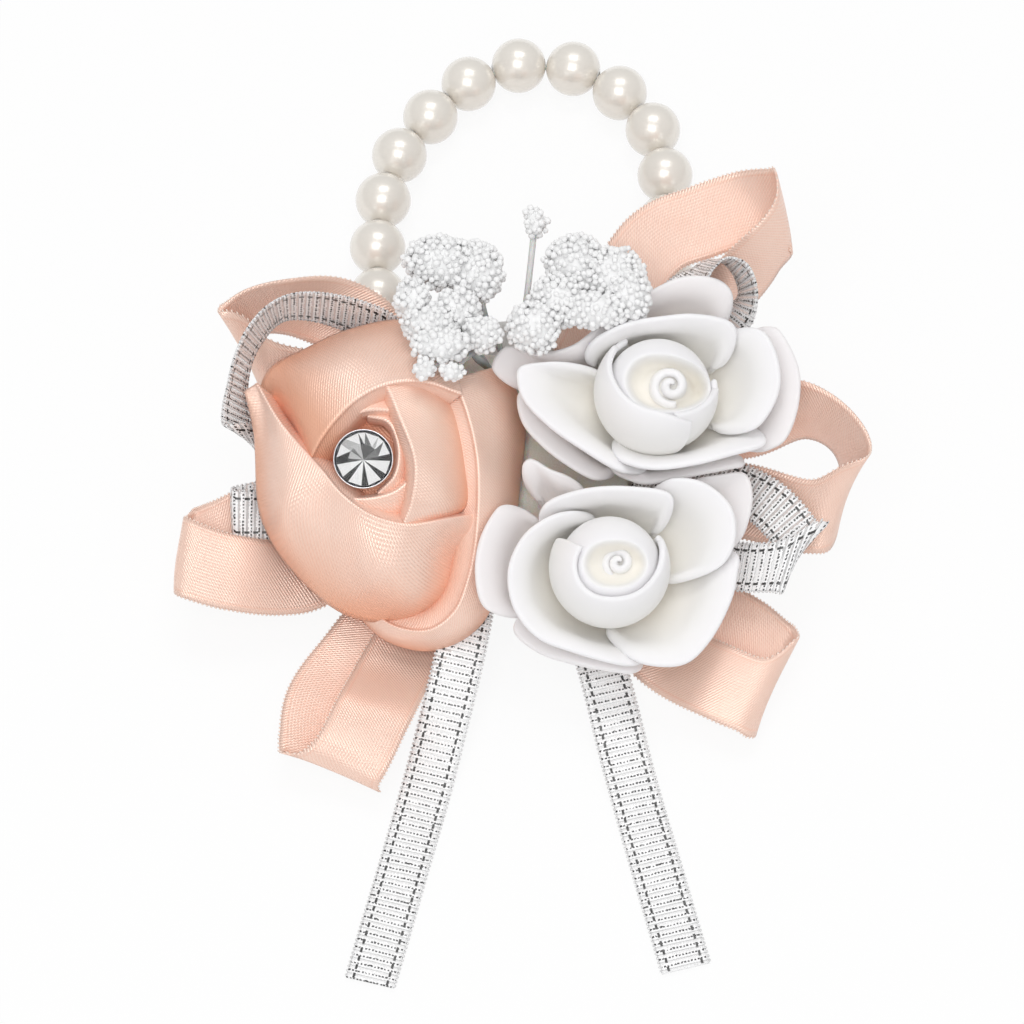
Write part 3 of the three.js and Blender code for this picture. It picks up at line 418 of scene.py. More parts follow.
# %% [markdown]
# ## Ribbons
# A ribbon keeps its width and only bends. So we steer its middle line with a few stations, each with the
# direction of the fold across the ribbon, and sweep a straight line along it. Where the ribbon runs askew
# to its fold, the line grows longer, so the width stays the same and the end of a loop is a straight
# crease, as in real ribbon. The result is measured along the middle, which gives the cloth its own
# millimetre grid for the weave.

# %% Sweep a ribbon
FINE_STEPS = 600
SIDE_SCALE = 10
MOST_ASKEW = 0.62
RIBBON_HALF = 0.14
RIPPLE_HEIGHT = 0.12
RIPPLE_ALONG = 3.1
RIPPLE_ACROSS = 2.2


def ribbon_frame(stations, steps):
    centres = [at for at, across in stations]
    dense = np.linspace(0, 1, FINE_STEPS)
    line = smooth_line(centres, dense)
    length = np.concatenate([[0], np.cumsum(np.linalg.norm(np.diff(line, axis=0), axis=1))])
    run = np.linspace(0, length[-1], steps)
    share = np.interp(run, length, dense)
    middle = smooth_line(centres, share)
    tangent = unit(np.gradient(middle, axis=0))
    side = unit(smooth_line([np.array(across, float) * SIDE_SCALE for at, across in stations], share))
    askew = (side * tangent).sum(1, keepdims=True)
    side = unit(side - tangent * (askew - np.clip(askew, -MOST_ASKEW, MOST_ASKEW)))
    normal = np.cross(tangent, side)
    slanted = np.linalg.norm(normal, axis=1, keepdims=True)
    return middle, tangent, side / slanted, normal / slanted, run


def swept_ribbon(stations, width, belly, steps=130, columns=15):
    middle, tangent, side, normal, run = ribbon_frame(stations, steps)
    across = np.linspace(-0.5, 0.5, columns) * width
    ripple = RIPPLE_HEIGHT * np.sin(run / RIPPLE_ALONG)[:, None] * np.sin(across / RIPPLE_ACROSS)[None]
    lift = belly * (1 - (2 * across / width) ** 2)[None] + ripple
    grid = middle[:, None] + side[:, None] * across[None, :, None] + normal[:, None] * lift[..., None]
    cloth = np.stack(np.meshgrid(run, across, indexing="ij"), -1)[..., ::-1].reshape(-1, 2)
    return grid, (tangent, side, run), sheet_skin(grid, RIBBON_HALF), np.concatenate([cloth, cloth])


one_bend = [([0, 0, 0], [0, 1, 0]), ([9, 0, 3], [0, 1, 0])]
print("ribbon of one bend, mm:", round(ribbon_frame(one_bend, 20)[4][-1], 2))

# %% [markdown]
# ## Satin loops
# Six loops of 10 mm satin stand out from behind the flowers. Each leaves the felt at one heading and
# comes back at another, one layer of ribbon higher, so the roots lie on each other as they do under the
# glue. The edges carry picots, tiny thread loops of the selvedge, which we set as beads along both edges.

# %% Where the satin loops run
ROOT_RADIUS = 16.0
ROOT_LEVEL = 0.55
LAYER = 0.8
SATIN_LOOPS = [
    (55, 43, [([19.1, 30, 3.6], [0.5, -0.85, 0]), ([25.2, 32.7, 4.6], [0.45, -0.88, 0]),
              ([32.4, 34.6, 6], [0.35, -0.9, -0.15]), ([36, 34, 8], [0.23, -0.86, -0.47]),
              ([36.4, 31.6, 8.4], [0.22, -0.5, -0.84]), ([34.2, 28.6, 7.0], [0.3, -0.38, -0.87]),
              ([30.2, 24.6, 3.8], [0.45, -0.5, -0.74]), ([25.6, 20.2, 2.8], [0.6, -0.8, 0])]),
    (9, -11, [([31, 5.5, 4], [0, 0.95, 0.2]), ([40.5, 6, 6.5], [0.2, 0.5, 0.8]),
              ([45.3, 1.5, 8], [0.3, 0.2, 0.9]), ([45.3, -4, 8], [0.2, 0.5, 0.8]),
              ([41, -7.8, 7.5], [0, 0.9, 0.4]), ([31, -5.5, 4], [0, 1, 0.1])]),
    (-37, -51, [([25.5, -20, 2.4], [0.55, 0.8, 0]), ([31.5, -24, 3.6], [0.5, 0.84, 0]),
                ([34.8, -28.2, 5], [0.42, 0.9, 0]), ([34.8, -30.8, 7.2], [0.4, 0.9, 0]),
                ([32, -32, 8.8], [0.38, 0.92, 0]), ([27, -30.2, 8.4], [0.4, 0.9, 0]),
                ([19.8, -25.6, 3.8], [0.5, 0.85, 0])]),
    (230, 243, [([-21, -26, 3.4], [0.85, -0.5, 0]), ([-25.6, -33, 6.6], [0.85, -0.5, 0]),
                ([-25.8, -39.6, 9.4], [0.9, -0.42, 0]), ([-24.2, -42.4, 11.4], [0.93, -0.37, 0]),
                ([-22, -40.8, 12.8], [0.92, -0.4, 0]), ([-18.8, -34.4, 10.6], [0.93, -0.35, 0]),
                ([-15.3, -27, 3.8], [0.95, -0.3, 0])]),
    (190, 201, [([-32.5, -7, 2.3], [-0.45, 0.9, 0]), ([-39, -10, 3], [-0.4, 0.9, 0]),
                ([-44.5, -12.5, 3.8], [0.1, 1, 0]), ([-44.8, -13.2, 7], [0.1, 1, 0]),
                ([-38, -15.5, 7.4], [0.08, 1, 0]), ([-29, -15.3, 3.8], [0.1, 1, 0])]),
    (140, 160, [([-22.5, 19.5, 3.2], [0.4, 0.9, 0.2]), ([-31, 21, 5], [0.1, 0.6, 0.8]),
                ([-36, 19.5, 5.8], [-0.3, 0.4, 0.8]), ([-36.8, 15.5, 5.6], [-0.4, 0.6, 0.6]),
                ([-33.5, 11.5, 5], [-0.3, 0.85, 0.4]), ([-25, 9.5, 3], [0.2, 0.95, 0.1])]),
]


def root_station(heading, layer, across):
    turn = math.radians(heading)
    outward = np.array([math.cos(turn), math.sin(turn), 0])
    sideways = np.array([-outward[1], outward[0], 0])
    if sideways @ np.array(across) < 0:
        sideways = -sideways
    return outward * ROOT_RADIUS + [0, 0, ROOT_LEVEL + layer * LAYER], sideways


def loop_stations(leaves, returns, path, layers):
    first = root_station(leaves, layers[0], path[0][1])
    last = root_station(returns, layers[1], path[-1][1])
    return [first, *path, last]


print("satin loops:", len(SATIN_LOOPS))

# %% Picots
PICOT_OUT = 0.35
PICOT_SHAPE = np.array([1.15, 1.0, 0.75])


def small_ball():
    made = bmesh.new()
    bmesh.ops.create_icosphere(made, subdivisions=1, radius=1.0)
    points = np.array([v.co for v in made.verts])
    faces = [[v.index for v in f.verts] for f in made.faces]
    made.free()
    return points, faces


BALL = small_ball()


def beads(places, axes, sizes):
    points = places[:, None] + np.einsum("pk,nkx,nk->npx", BALL[0], axes, sizes)
    faces = (np.array(BALL[1])[None] + (np.arange(len(places)) * len(BALL[0]))[:, None, None]).reshape(-1, 3)
    return points.reshape(-1, 3), faces


def along_run(at, run, rows):
    return np.stack([np.interp(at, run, rows[:, k]) for k in range(3)], -1)


def picots(grid, shape, pitch, size):
    tangent, side, run = shape
    at = np.arange(pitch / 2, run[-1], pitch)
    places, axes = [], []
    for column, sign in ((0, -1), (-1, 1)):
        t = along_run(at, run, tangent)
        s = along_run(at, run, side) * sign
        places.append(along_run(at, run, grid[:, column]) + s * size * PICOT_OUT)
        axes.append(np.stack([t, s, np.cross(t, s)], 1))
    places, axes = np.concatenate(places), np.concatenate(axes)
    return beads(places, axes, np.tile(size * PICOT_SHAPE, (len(places), 1)))


print("faces of one picot:", len(BALL[1]))

# %% Satin loops
SATIN_BELLY = 0.25
SATIN_RIBBON = {"slot": "satin", "width": 10.0, "finish": ribbon_satin,
                "edge": picot.material, "picot_pitch": 0.6, "picot_size": 0.17}


def ribbon_pieces(kind, tag, node, stations, cloth, belly, place=on_head, body="flower_head"):
    grid, shape, skin, uv = swept_ribbon(stations, cloth["width"], belly)
    ribbon = add_piece(f"{kind}_ribbon_{tag}", (place(skin[0]), skin[1]), [cloth["finish"]], cloth["slot"],
                       body=body, replaces=[node], uv=uv)
    points, faces = picots(grid, shape, cloth["picot_pitch"], cloth["picot_size"])
    edge = add_piece(f"{kind}_picots_{tag}", (place(points), faces), [cloth["edge"]], cloth["slot"],
                     body=body, replaces=[node])
    length = float(shape[2][-1])
    print(node, "ribbon length in mm:", round(length, 1))
    return ribbon, edge, length


for number, (leaves, returns, path) in enumerate(SATIN_LOOPS, 1):
    stations = loop_stations(leaves, returns, path, (0, 1))
    node = f"satin_loop_{number}"
    ribbon, edge, length = ribbon_pieces("satin", number, node, stations, SATIN_RIBBON, SATIN_BELLY)

# %% [markdown]
# ## Silver ribbon
# The silver ribbon is an open weave: white metallised film in rungs, dark gaps between the rungs, and two
# dashed lines of warp thread near its edges. We build the film as a thin sheet whose transparency follows
# the rungs, and draw the warp dashes in the same cloth coordinates. Its edges get picots too, in a
# plainer silver.

# %% Silver finish
RUNG = 1.08
FILM_THREAD = 0.45
WARP_LINE, WARP_LINE_HALF = 2.25, 0.16
WARP_DASH, DASH_FROM = 1.2, -0.25
WOBBLE, RUNG_WOBBLE = 0.9, 0.3
DARK_FROM, SPECK_FROM, GAP_BELOW = 0.8, -0.1, -0.55
FILM_ALPHA, GAP_FADE = 0.97, 0.6


def silver_finish():
    film = Finish("silver_weave", (0.95, 0.95, 0.955), 0.3, Specular_IOR_Level=0.8)
    cloth = film.node("ShaderNodeUVMap", uv_map="cloth").outputs["UV"]
    split = film.node("ShaderNodeSeparateXYZ", Vector=cloth)
    along, across = split.outputs["Y"], split.outputs["X"]
    grain = film.node("ShaderNodeTexNoise", Vector=cloth, Scale=2.2, Detail=3.0,
                      Roughness=0.6).outputs["Fac"]
    wobble = film.math("MULTIPLY", film.math("SUBTRACT", grain, 0.5), WOBBLE)
    rung = film.wave(film.math("ADD", along, film.math("MULTIPLY", wobble, RUNG_WOBBLE)), RUNG)
    thread = film.wave(across, FILM_THREAD)
    from_line = film.math("SUBTRACT", film.math("ABSOLUTE", across), WARP_LINE)
    line = film.math("LESS_THAN", film.math("ABSOLUTE", from_line), WARP_LINE_HALF)
    dark_line = film.math("MULTIPLY", line,
                          film.math("GREATER_THAN", film.wave(along, WARP_DASH), DASH_FROM))
    dark_rung = film.math("GREATER_THAN", film.math("ADD", rung, wobble), DARK_FROM)
    worn = film.math("ADD", film.math("MULTIPLY", thread, 0.4), film.math("MULTIPLY", wobble, 3.0))
    speck = film.math("GREATER_THAN", worn, SPECK_FROM)
    dark = film.math("MAXIMUM", dark_line, film.math("MULTIPLY", dark_rung, speck))
    film.paint(film.ramp(dark, [(0.0, (0.96, 0.96, 0.965)), (1.0, (0.03, 0.03, 0.03))]))
    open_gap = film.math("LESS_THAN", film.math("ADD", rung, film.math("MULTIPLY", wobble, 2.0)), GAP_BELOW)
    hole = film.math("MULTIPLY", open_gap, film.math("SUBTRACT", 1.0, dark_line))
    film.wire(film.math("SUBTRACT", FILM_ALPHA, film.math("MULTIPLY", hole, GAP_FADE)),
              film.shader.inputs["Alpha"])
    film.bump(film.math("ADD", rung, film.math("MULTIPLY", thread, 0.6)), 0.22, 0.00012)
    return film.material


silver = silver_finish()
silver_edge = Finish("silver_edge", (0.80, 0.80, 0.81), 0.4, Metallic=0.4)
silver_edge.speckle([(0.35, (0.66, 0.66, 0.67)), (0.6, (0.95, 0.95, 0.95))], 0.4, 0.0001,
                    Scale=3000.0, Detail=2.0)
print("silver nodes:", len(silver.node_tree.nodes))

# %% [markdown]
# ## Silver loops
# Four loops of the silver ribbon stand between the satin ones and the flowers. They are swept like the
# satin, on the two layers above it.

# %% Silver loops
SILVER_BELLY = 0.1
SILVER_RIBBON = {"slot": "silver", "width": 6.4, "finish": silver,
                 "edge": silver_edge.material, "picot_pitch": 0.62, "picot_size": 0.2}
SILVER_LOOPS = [
    (138, 174, [([-20, 18.5, 6.3], [0.15, 0.6, 0.75]), ([-30.5, 19.8, 11.2], [0.05, 0.3, 0.95]),
                ([-35, 15, 14], [-0.25, 0.15, 0.95]), ([-37, 8.8, 12.2], [-0.3, 0.05, 0.95]),
                ([-36, 2.4, 7.4], [-0.4, 0.3, 0.8]), ([-26, 1.5, 3.8], [0.1, 1, 0])]),
    (197, 197, [([-24, -6.4, 3.5], [-0.2, 0.95, 0]), ([-31, -5.8, 4.2], [-0.1, 0.95, 0]),
                ([-37.8, -7, 4.6], [0, 0.95, 0.1]), ([-37.8, -7.6, 6.2], [0, 0.95, 0.1]),
                ([-31, -7.5, 5.2], [0, 1, 0]), ([-24, -6.8, 4.2], [-0.2, 0.95, 0])]),
    (-8, -28, [([28, -3.2, 5], [0.4, 0.85, 0.1]), ([33.4, -5.8, 7.4], [0.6, 0.75, 0.1]),
               ([37, -9.8, 8.8], [0.75, 0.6, 0.1]), ([38.4, -12.8, 9.4], [0.6, 0.75, 0]),
               ([36.6, -14.4, 10.4], [0.35, 0.9, 0]), ([33, -15, 9.4], [0.2, 0.95, 0]),
               ([27, -14, 6.4], [0.2, 0.95, 0])]),
    (44, 32, [([21.6, 20.8, 4.8], [0.65, -0.7, 0.1]), ([25.3, 25.5, 8.6], [0.25, -0.2, 0.95]),
              ([28, 26.5, 10.9], [0.15, -0.1, 0.98]), ([30.4, 24.8, 10.8], [0.2, 0.1, 0.97]),
              ([31.2, 21.2, 8.6], [0.3, -0.2, 0.93]), ([25.4, 16.6, 4.2], [0.6, -0.8, 0])]),
]
for number, (leaves, returns, path) in enumerate(SILVER_LOOPS, 1):
    stations = loop_stations(leaves, returns, path, (2, 3))
    ribbon_pieces("silver", number, f"silver_loop_{number}", stations, SILVER_RIBBON, SILVER_BELLY)

# %% [markdown]
# ## Silver tails
# Two cut ends of the same ribbon hang from under the flowers and lie on the table. A tail follows the
# flower head at its root and swings at the bend. Each one is a single sheet, laid in table coordinates and
# left on no body.

# %% Silver tails
TAIL_BELLY = 0.05
TAIL_REST = 0.25
LANDING_SHARE, LANDING_LIFT = 0.35, 0.7
FLAT_SHARE = 0.6
TAILS = [
    ("left", [-5, -13.5, 2.47], [-7.3, -26, 6.8], 255.6, 46.3, [0.97, -0.25, 0]),
    ("right", [7, -14, 2.47], [11.5, -27.5, 5], 284.2, 43.5, [0.97, 0.25, 0]),
]
for side_name, root, bend, heading, run, across in TAILS:
    start, over = lean(root), lean(bend)
    turn = math.radians(heading)
    tip = np.array([over[0] + run * math.cos(turn), over[1] + run * math.sin(turn), TAIL_REST])
    landing = over + (tip - over) * LANDING_SHARE
    flat = over + (tip - over) * FLAT_SHARE
    landing[2], flat[2] = TAIL_REST + LANDING_LIFT, TAIL_REST
    stations = [(point, across) for point in (start, over, landing, flat, tip)]
    node = f"silver_tail_{side_name}"
    tail, edge, length = ribbon_pieces("tail", side_name, node, stations, SILVER_RIBBON, TAIL_BELLY,
                                       place=on_table, body=None)
    for soft in (tail, edge):
        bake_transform(soft)

# %% [markdown]
# ## Pearls
# The bracelet's pearls are moulded beads with a nacre coat: cloudy ivory under a clear gloss, with soft
# highlights. A drilled ball is a half circle and a short bore, turned on a lathe. Each pearl rides on its
# own body, because each one moves its own distance when the bracelet stretches.

# %% Pearl finish
nacre = Finish("pearl_nacre", (0.88, 0.84, 0.775), 0.3, Metallic=0.25, Coat_Weight=1.0, Coat_Roughness=0.06,
               Specular_IOR_Level=0.6)
cloud = nacre.node("ShaderNodeTexNoise", Scale=260.0, Detail=4.0, Roughness=0.55)
nacre.paint(nacre.ramp(cloud.outputs["Fac"], [(0.3, (0.84, 0.79, 0.715)), (0.7, (0.91, 0.875, 0.82))]))
grain = nacre.node("ShaderNodeTexNoise", Scale=1500.0, Detail=3.0)
nacre.bump(grain.outputs["Fac"], 0.05, 0.0002)
print("pearl nodes:", len(nacre.nodes))

# %% Where the pearls sit
PEARL_NAMES = [f"pearl_{i:02d}" for i in range(1, 19)]
centres = []
for name in PEARL_NAMES:
    low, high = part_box(name)
    centres.append(np.array((low + high) / 2) / MM)
centres = np.array(centres)
headings = unit(np.gradient(centres, axis=0))
print("pearls:", len(PEARL_NAMES), "first to last in mm:",
      round(float(np.linalg.norm(centres[0] - centres[-1])), 1))

# %% Pearls
PEARL_RADIUS = 4.0
BORE_RADIUS = 0.65


def pearl_skin(at, heading, sides=40, latitudes=26):
    mouth = math.asin(BORE_RADIUS / PEARL_RADIUS)
    turn = np.linspace(mouth, math.pi - mouth, latitudes)
    profile = np.stack([np.sin(turn), -np.cos(turn)], -1) * PEARL_RADIUS
    side = unit(np.cross(heading, [0, 0, 1.0]))
    other = np.cross(side, heading)
    c, s = circle(sides)
    spoke = c[:, None] * side + s[:, None] * other
    points = at + profile[:, None, :1] * spoke[None] + profile[:, None, 1:] * heading
    i, k = np.meshgrid(np.arange(latitudes), np.arange(sides), indexing="ij")
    above, beside = (i + 1) % latitudes, (k + 1) % sides
    faces = np.stack([i * sides + k, i * sides + beside, above * sides + beside, above * sides + k], -1)
    return points.reshape(-1, 3), faces.reshape(-1, 4)


for name, at, heading in zip(PEARL_NAMES, centres, headings):
    points, faces = pearl_skin(at, heading)
    add_piece(f"{name}_bead", (points * MM, faces), [nacre.material], "pearl", body=name, replaces=[name])
print("faces of a pearl:", len(faces))

# %% [markdown]
# ## Elastic cord
# A clear elastic runs through the pearls and straight across the back of the felt, where it is trapped.
# Inside the row a short length rides with every pearl and reaches into the next, so the line stays closed
# when the pearls part. The two lengths between felt and first pearl really stretch; each is one tube laid
# in place and left on no body.

# %% Elastic cord
CORD_RADIUS = 0.4
CORD_SIDES = 10
CORD_LINE = 2.0
CORD_DEPTH = 2.3
CORD_REACH = 11.0
elastic = Finish("elastic_cord", (0.86, 0.85, 0.82), 0.3, Subsurface_Weight=0.4, Subsurface_Scale=0.001)
elastic.speckle([(0.3, (0.80, 0.79, 0.75)), (0.7, (0.90, 0.89, 0.87))], 0.2, 0.0001, Scale=900.0, Detail=2.0)


def cord_piece(name, line, body):
    points, faces = tube_skin(line, CORD_RADIUS, CORD_SIDES)
    return add_piece(name, (points * MM, faces), [elastic.material], "cord", body=body,
                     replaces=["elastic_cord"])


for i, name in enumerate(PEARL_NAMES[:-1]):
    line = centres[i] + (centres[i + 1] - centres[i]) * np.linspace(0, 1, 6)[:, None]
    cord_piece(f"cord_at_{name}", line, name)
trap = lean([0, CORD_LINE, -CORD_DEPTH]) + SHIFT
cord_piece("cord_in_felt", trap + np.linspace(-1, 1, 9)[:, None] * [CORD_REACH, 0, 0], "bracelet")
print("cord in the felt, mm:", 2 * CORD_REACH)

# %% Cord between felt and pearls
KNEE_OUT, KNEE_BACK, KNEE_LIFT = 5.2, 2.2, 0.3
PEARL_ENTRY = 4.5
cord_ends = (("pearl_01", -1, centres[0], headings[0]), ("pearl_18", 1, centres[-1], -headings[-1]))
for name, sign, at, heading in cord_ends:
    leaving = trap + [sign * CORD_REACH, 0, 0]
    knee = np.array([leaving[0] + sign * KNEE_OUT, (leaving[1] + at[1]) / 2 - KNEE_BACK, at[2] + KNEE_LIFT])
    line = smooth_line([leaving, knee, at - heading * PEARL_ENTRY, at], np.linspace(0, 1, 40))
    stretch = cord_piece(f"cord_to_{name}", line, None)
    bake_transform(stretch)
    print("cord to", name, "in mm:", round(float(np.linalg.norm(np.diff(line, axis=0), axis=1).sum()), 1))

# %% [markdown]
# ## Felt and glue
# Two felt discs grip the cord: the big one carries the flowers, the small one lies on the wrist. Felt is
# pressed fibre, so its edge is soft and its face fuzzy. The hot glue between felt and flowers set as a
# lumpy, milky mound.

# %% Felt discs
FLOWER_FELT_RADIUS = 20.0
WRIST_FELT_RADIUS = 12.0
FELT_GAP = 0.3
GROOVE_PLAY = 0.15
GROOVE_DEPTH = 0.95
GROOVE_BED, GROOVE_BED_HALF = 0.25, 0.5
felt = Finish("white_felt", (0.88, 0.86, 0.83), 0.95, Sheen_Weight=0.5, Sheen_Roughness=0.6)
felt.speckle([(0.3, (0.80, 0.78, 0.75)), (0.65, (0.92, 0.91, 0.89))], 0.6, 0.0004,
             Scale=1400.0, Detail=6.0, Roughness=0.7, Distortion=1.5)


def disc_skin(radius, top, thickness, dent=None, rings=16, sides=96, round_off=0.5):
    share = np.linspace(0, 1, rings + 1)[1:]
    c, s = circle(sides)
    r = radius * np.sqrt(share)
    soft = round_off * (1 - np.sqrt(1 - np.clip((r - radius + round_off) / round_off, 0, 1) ** 2))
    x, y = r[:, None] * c, r[:, None] * s
    upper = top - soft[:, None] - (dent(y) if dent else 0 * y)
    lower = np.broadcast_to(top - thickness + soft[:, None], x.shape)
    face = np.stack([x, y, upper], -1).reshape(-1, 3)
    under = np.stack([x, y, lower], -1).reshape(-1, 3)
    middle = [[0, 0, top - (dent(np.zeros(1))[0] if dent else 0)], [0, 0, top - thickness]]
    count = rings * sides
    around = ring_faces(rings, sides)
    faces = np.roll(around[:, ::-1], 1, axis=1).tolist() + (around + count).tolist()
    for k in range(sides):
        after = (k + 1) % sides
        outer = (rings - 1) * sides
        faces.append([outer + k, count + outer + k, count + outer + after, outer + after])
        faces.append([2 * count, k, after])
        faces.append([2 * count + 1, count + after, count + k])
    return np.concatenate([face, under, middle]), faces


def cord_groove(y):
    round_part = np.sqrt(np.maximum((CORD_RADIUS + GROOVE_PLAY) ** 2 - y ** 2, 0)) * GROOVE_DEPTH
    return round_part + np.where(abs(y) < GROOVE_BED_HALF, GROOVE_BED, 0)


head_piece("flower_felt", disc_skin(FLOWER_FELT_RADIUS, 0.0, FELT_THICKNESS), [felt.material], "felt",
           replaces=["base_felt"])
points, faces = disc_skin(WRIST_FELT_RADIUS, -FELT_THICKNESS - FELT_GAP, FELT_THICKNESS, dent=cord_groove)
head_piece("wrist_felt", (points + [0, CORD_LINE, 0], faces), [felt.material], "felt",
           replaces=["backing_felt"])
print("felt discs across in mm:", 2 * FLOWER_FELT_RADIUS, 2 * WRIST_FELT_RADIUS)

# %% Glue
GLUE_LUMPS = 0.04
GLUE_LINE = [[9, 0.3, 0], [9.3, 2, 0], [10.2, 3.3, 0], [13.5, 3.55, 0], [15.6, 3.7, 0], [15.8, 4.1, 0],
             [14.5, 4.65, 0], [9, 4.7, 0], [1, 4.7, 0]]
glue = Finish("hot_glue", (0.84, 0.80, 0.72), 0.28, Subsurface_Weight=0.5, Subsurface_Scale=0.003)
glue.speckle([(0.35, (0.78, 0.73, 0.64)), (0.65, (0.88, 0.85, 0.79))], 0.4, 0.0008, Scale=220.0, Detail=3.0)
points, faces = lathe_skin(smooth_line(GLUE_LINE, np.linspace(0, 1, 40))[:, :2], 72)
bearing = np.arctan2(points[:, 1], points[:, 0])
points[:, :2] *= (1 - GLUE_LUMPS * (1 + np.sin(5 * bearing) * np.cos(3 * bearing + 1)))[:, None]
head_piece("glue_blob", (points, faces), [glue.material], "glue", replaces=["glue_mound"])
print("glue mound across in mm:", round(float(np.ptp(points[:, 0])), 1))

# %% [markdown]
# ## Satin rose
# This rose is one wide satin ribbon, folded double and wound round its eye, a fold at a time. What shows
# of every fold is an outer face that climbs from under its neighbour to a rolled rim, and a lining that
# dives back inside. So each fold is one section line (hem, face, rim, lining), swept from one end of the
# rim to the other. The swell along it makes the soft ridges and the pocket at the bottom.

# %% Where the folds lie
ROSE_EYE = np.array([-20, -1.5])
SATIN_FOLDS = [
    {"rim": [[-34.5, 9.3, 13], [-31.3, 3.7, 15.5], [-25.8, -2.9, 17.2], [-23, -6.3, 17.6], [-19, -9.1, 17.4],
             [-14, -10.3, 17], [-8.6, -9.3, 15.2], [-4.6, -8.2, 11.8]],
     "foot": [[-34.9, 8.4, 11], [-34.7, 0.7, 9.8], [-33.8, -8.6, 9], [-28.7, -16.4, 8.2], [-22, -21.4, 7.4],
              [-14.5, -21.8, 6.9], [-8.6, -18.7, 6.5], [-4.6, -14.5, 6.2]],
     "swell": [0.4, 1.2, 1.6, 1.9, 2.2, 1.8, 0.6, 0.2], "inset": 3.0, "drop": 6.0, "ridges": (2.7, 1.25)},
    {"rim": [[-28, -3.5, 14.6], [-26, 0.8, 17.6], [-21.5, 6, 18.5], [-17, 8.5, 18], [-12, 9, 17],
             [-7, 7.5, 16]],
     "foot": [[-35, 6.5, 9.2], [-33, 11.5, 10], [-28, 14.5, 9.5], [-23, 17, 8.5], [-15, 18.5, 8],
              [-10, 15.5, 8]],
     "swell": [-2.4, 0.2, 1.9, 1.5, 1.2, 0.6], "groove": 0.8, "inset": 3.0, "drop": 6.0,
     "ridges": (3.0, 0.25)},
    {"rim": [[-8.4, 9.5, 14.5], [-6.9, 7, 15.2], [-4.9, -0.7, 14.8], [-4.9, -10, 13.2], [-6, -16.5, 11.6],
             [-8, -21.2, 10.4], [-11.5, -23.6, 9.4], [-16.5, -22.8, 8.0], [-21, -19, 6.6]],
     "foot": [[-1.5, 12.5, 7.5], [1.2, 6, 6.8], [0.6, -3, 6.5], [-0.4, -11, 6.5], [-2.2, -17.5, 6.5],
              [-4.8, -22.6, 6.6], [-10.5, -25.8, 6.4], [-17, -24.6, 6], [-21.8, -20.2, 5.6]],
     "swell": [0.5, 0.8, 0.9, 0.8, 0.7, 0.6, 0.4, 0.3, 0.2], "inset": 4.4, "drop": 4.6,
     "ridges": (4.0, 0.2)},
    {"rim": [[-17, 8.5, 17.5], [-15.5, 5, 18.3], [-13, -2, 18.5], [-13.5, -7.5, 18], [-14.5, -10, 17]],
     "foot": [[-8, 8.5, 12.6], [-6.5, 4, 12.4], [-6, -2.5, 12.6], [-6.5, -7, 12.6], [-9, -9, 12.6]],
     "swell": [0.6, 1.0, 0.8, 1.0, 0.5], "inset": 1.5, "drop": 4.5, "ridges": (2.0, 0.15)},
    {"rim": [[-25, 1, 16], [-23, 3.7, 16.6], [-19.5, 5.2, 16.8], [-14.5, 5, 16.5]],
     "foot": [[-25.5, 2, 13.5], [-21.5, 7, 13.5], [-17, 8.5, 13.5], [-13, 6.5, 13.5]],
     "swell": [0.3, 0.4, 0.4, 0.3], "inset": 0.4, "drop": 2.6, "ridges": (2.0, 0.1)},
    {"rim": [[-24.5, -5, 16], [-21.5, -6.8, 16.6], [-16, -6, 16.6], [-13, -3.5, 16.4]],
     "foot": [[-25.5, -4.5, 13.5], [-21, -8.5, 13.5], [-15, -9.5, 13.5], [-12, -6.5, 13.5]],
     "swell": [0.3, 0.4, 0.4, 0.3], "inset": 0.4, "drop": 2.6, "ridges": (2.0, 0.1)},
    {"rim": [[-19.5, 4.6, 15.8], [-16.6, 3.6, 16.6], [-15.2, 0, 16.8], [-15.7, -3.6, 16.6], [-18, -6, 15.8]],
     "foot": [[-18.5, 6.6, 13.4], [-14.6, 5.2, 13.2], [-13.2, 0, 13.2], [-13.8, -4.6, 13.2],
              [-16.6, -7.8, 13.4]],
     "swell": [0.2, 0.3, 0.3, 0.3, 0.2], "inset": 0.2, "drop": 2.4, "ridges": (2.0, 0.05)},
]
print("folds of the rose:", len(SATIN_FOLDS))

# %% One fold
FACE_STEPS = (0, 0.14, 0.28, 0.42, 0.56, 0.69, 0.8, 0.89, 0.95)
LINING_STEPS = (0.35, 0.65, 1.0)
RIDGE_SLANT = 2.5
RIM_OVER, RIM_IN = 0.05, 0.12
RIM_BACK, RIM_DOWN = 0.34, 0.4
LINING_GAP = 0.4


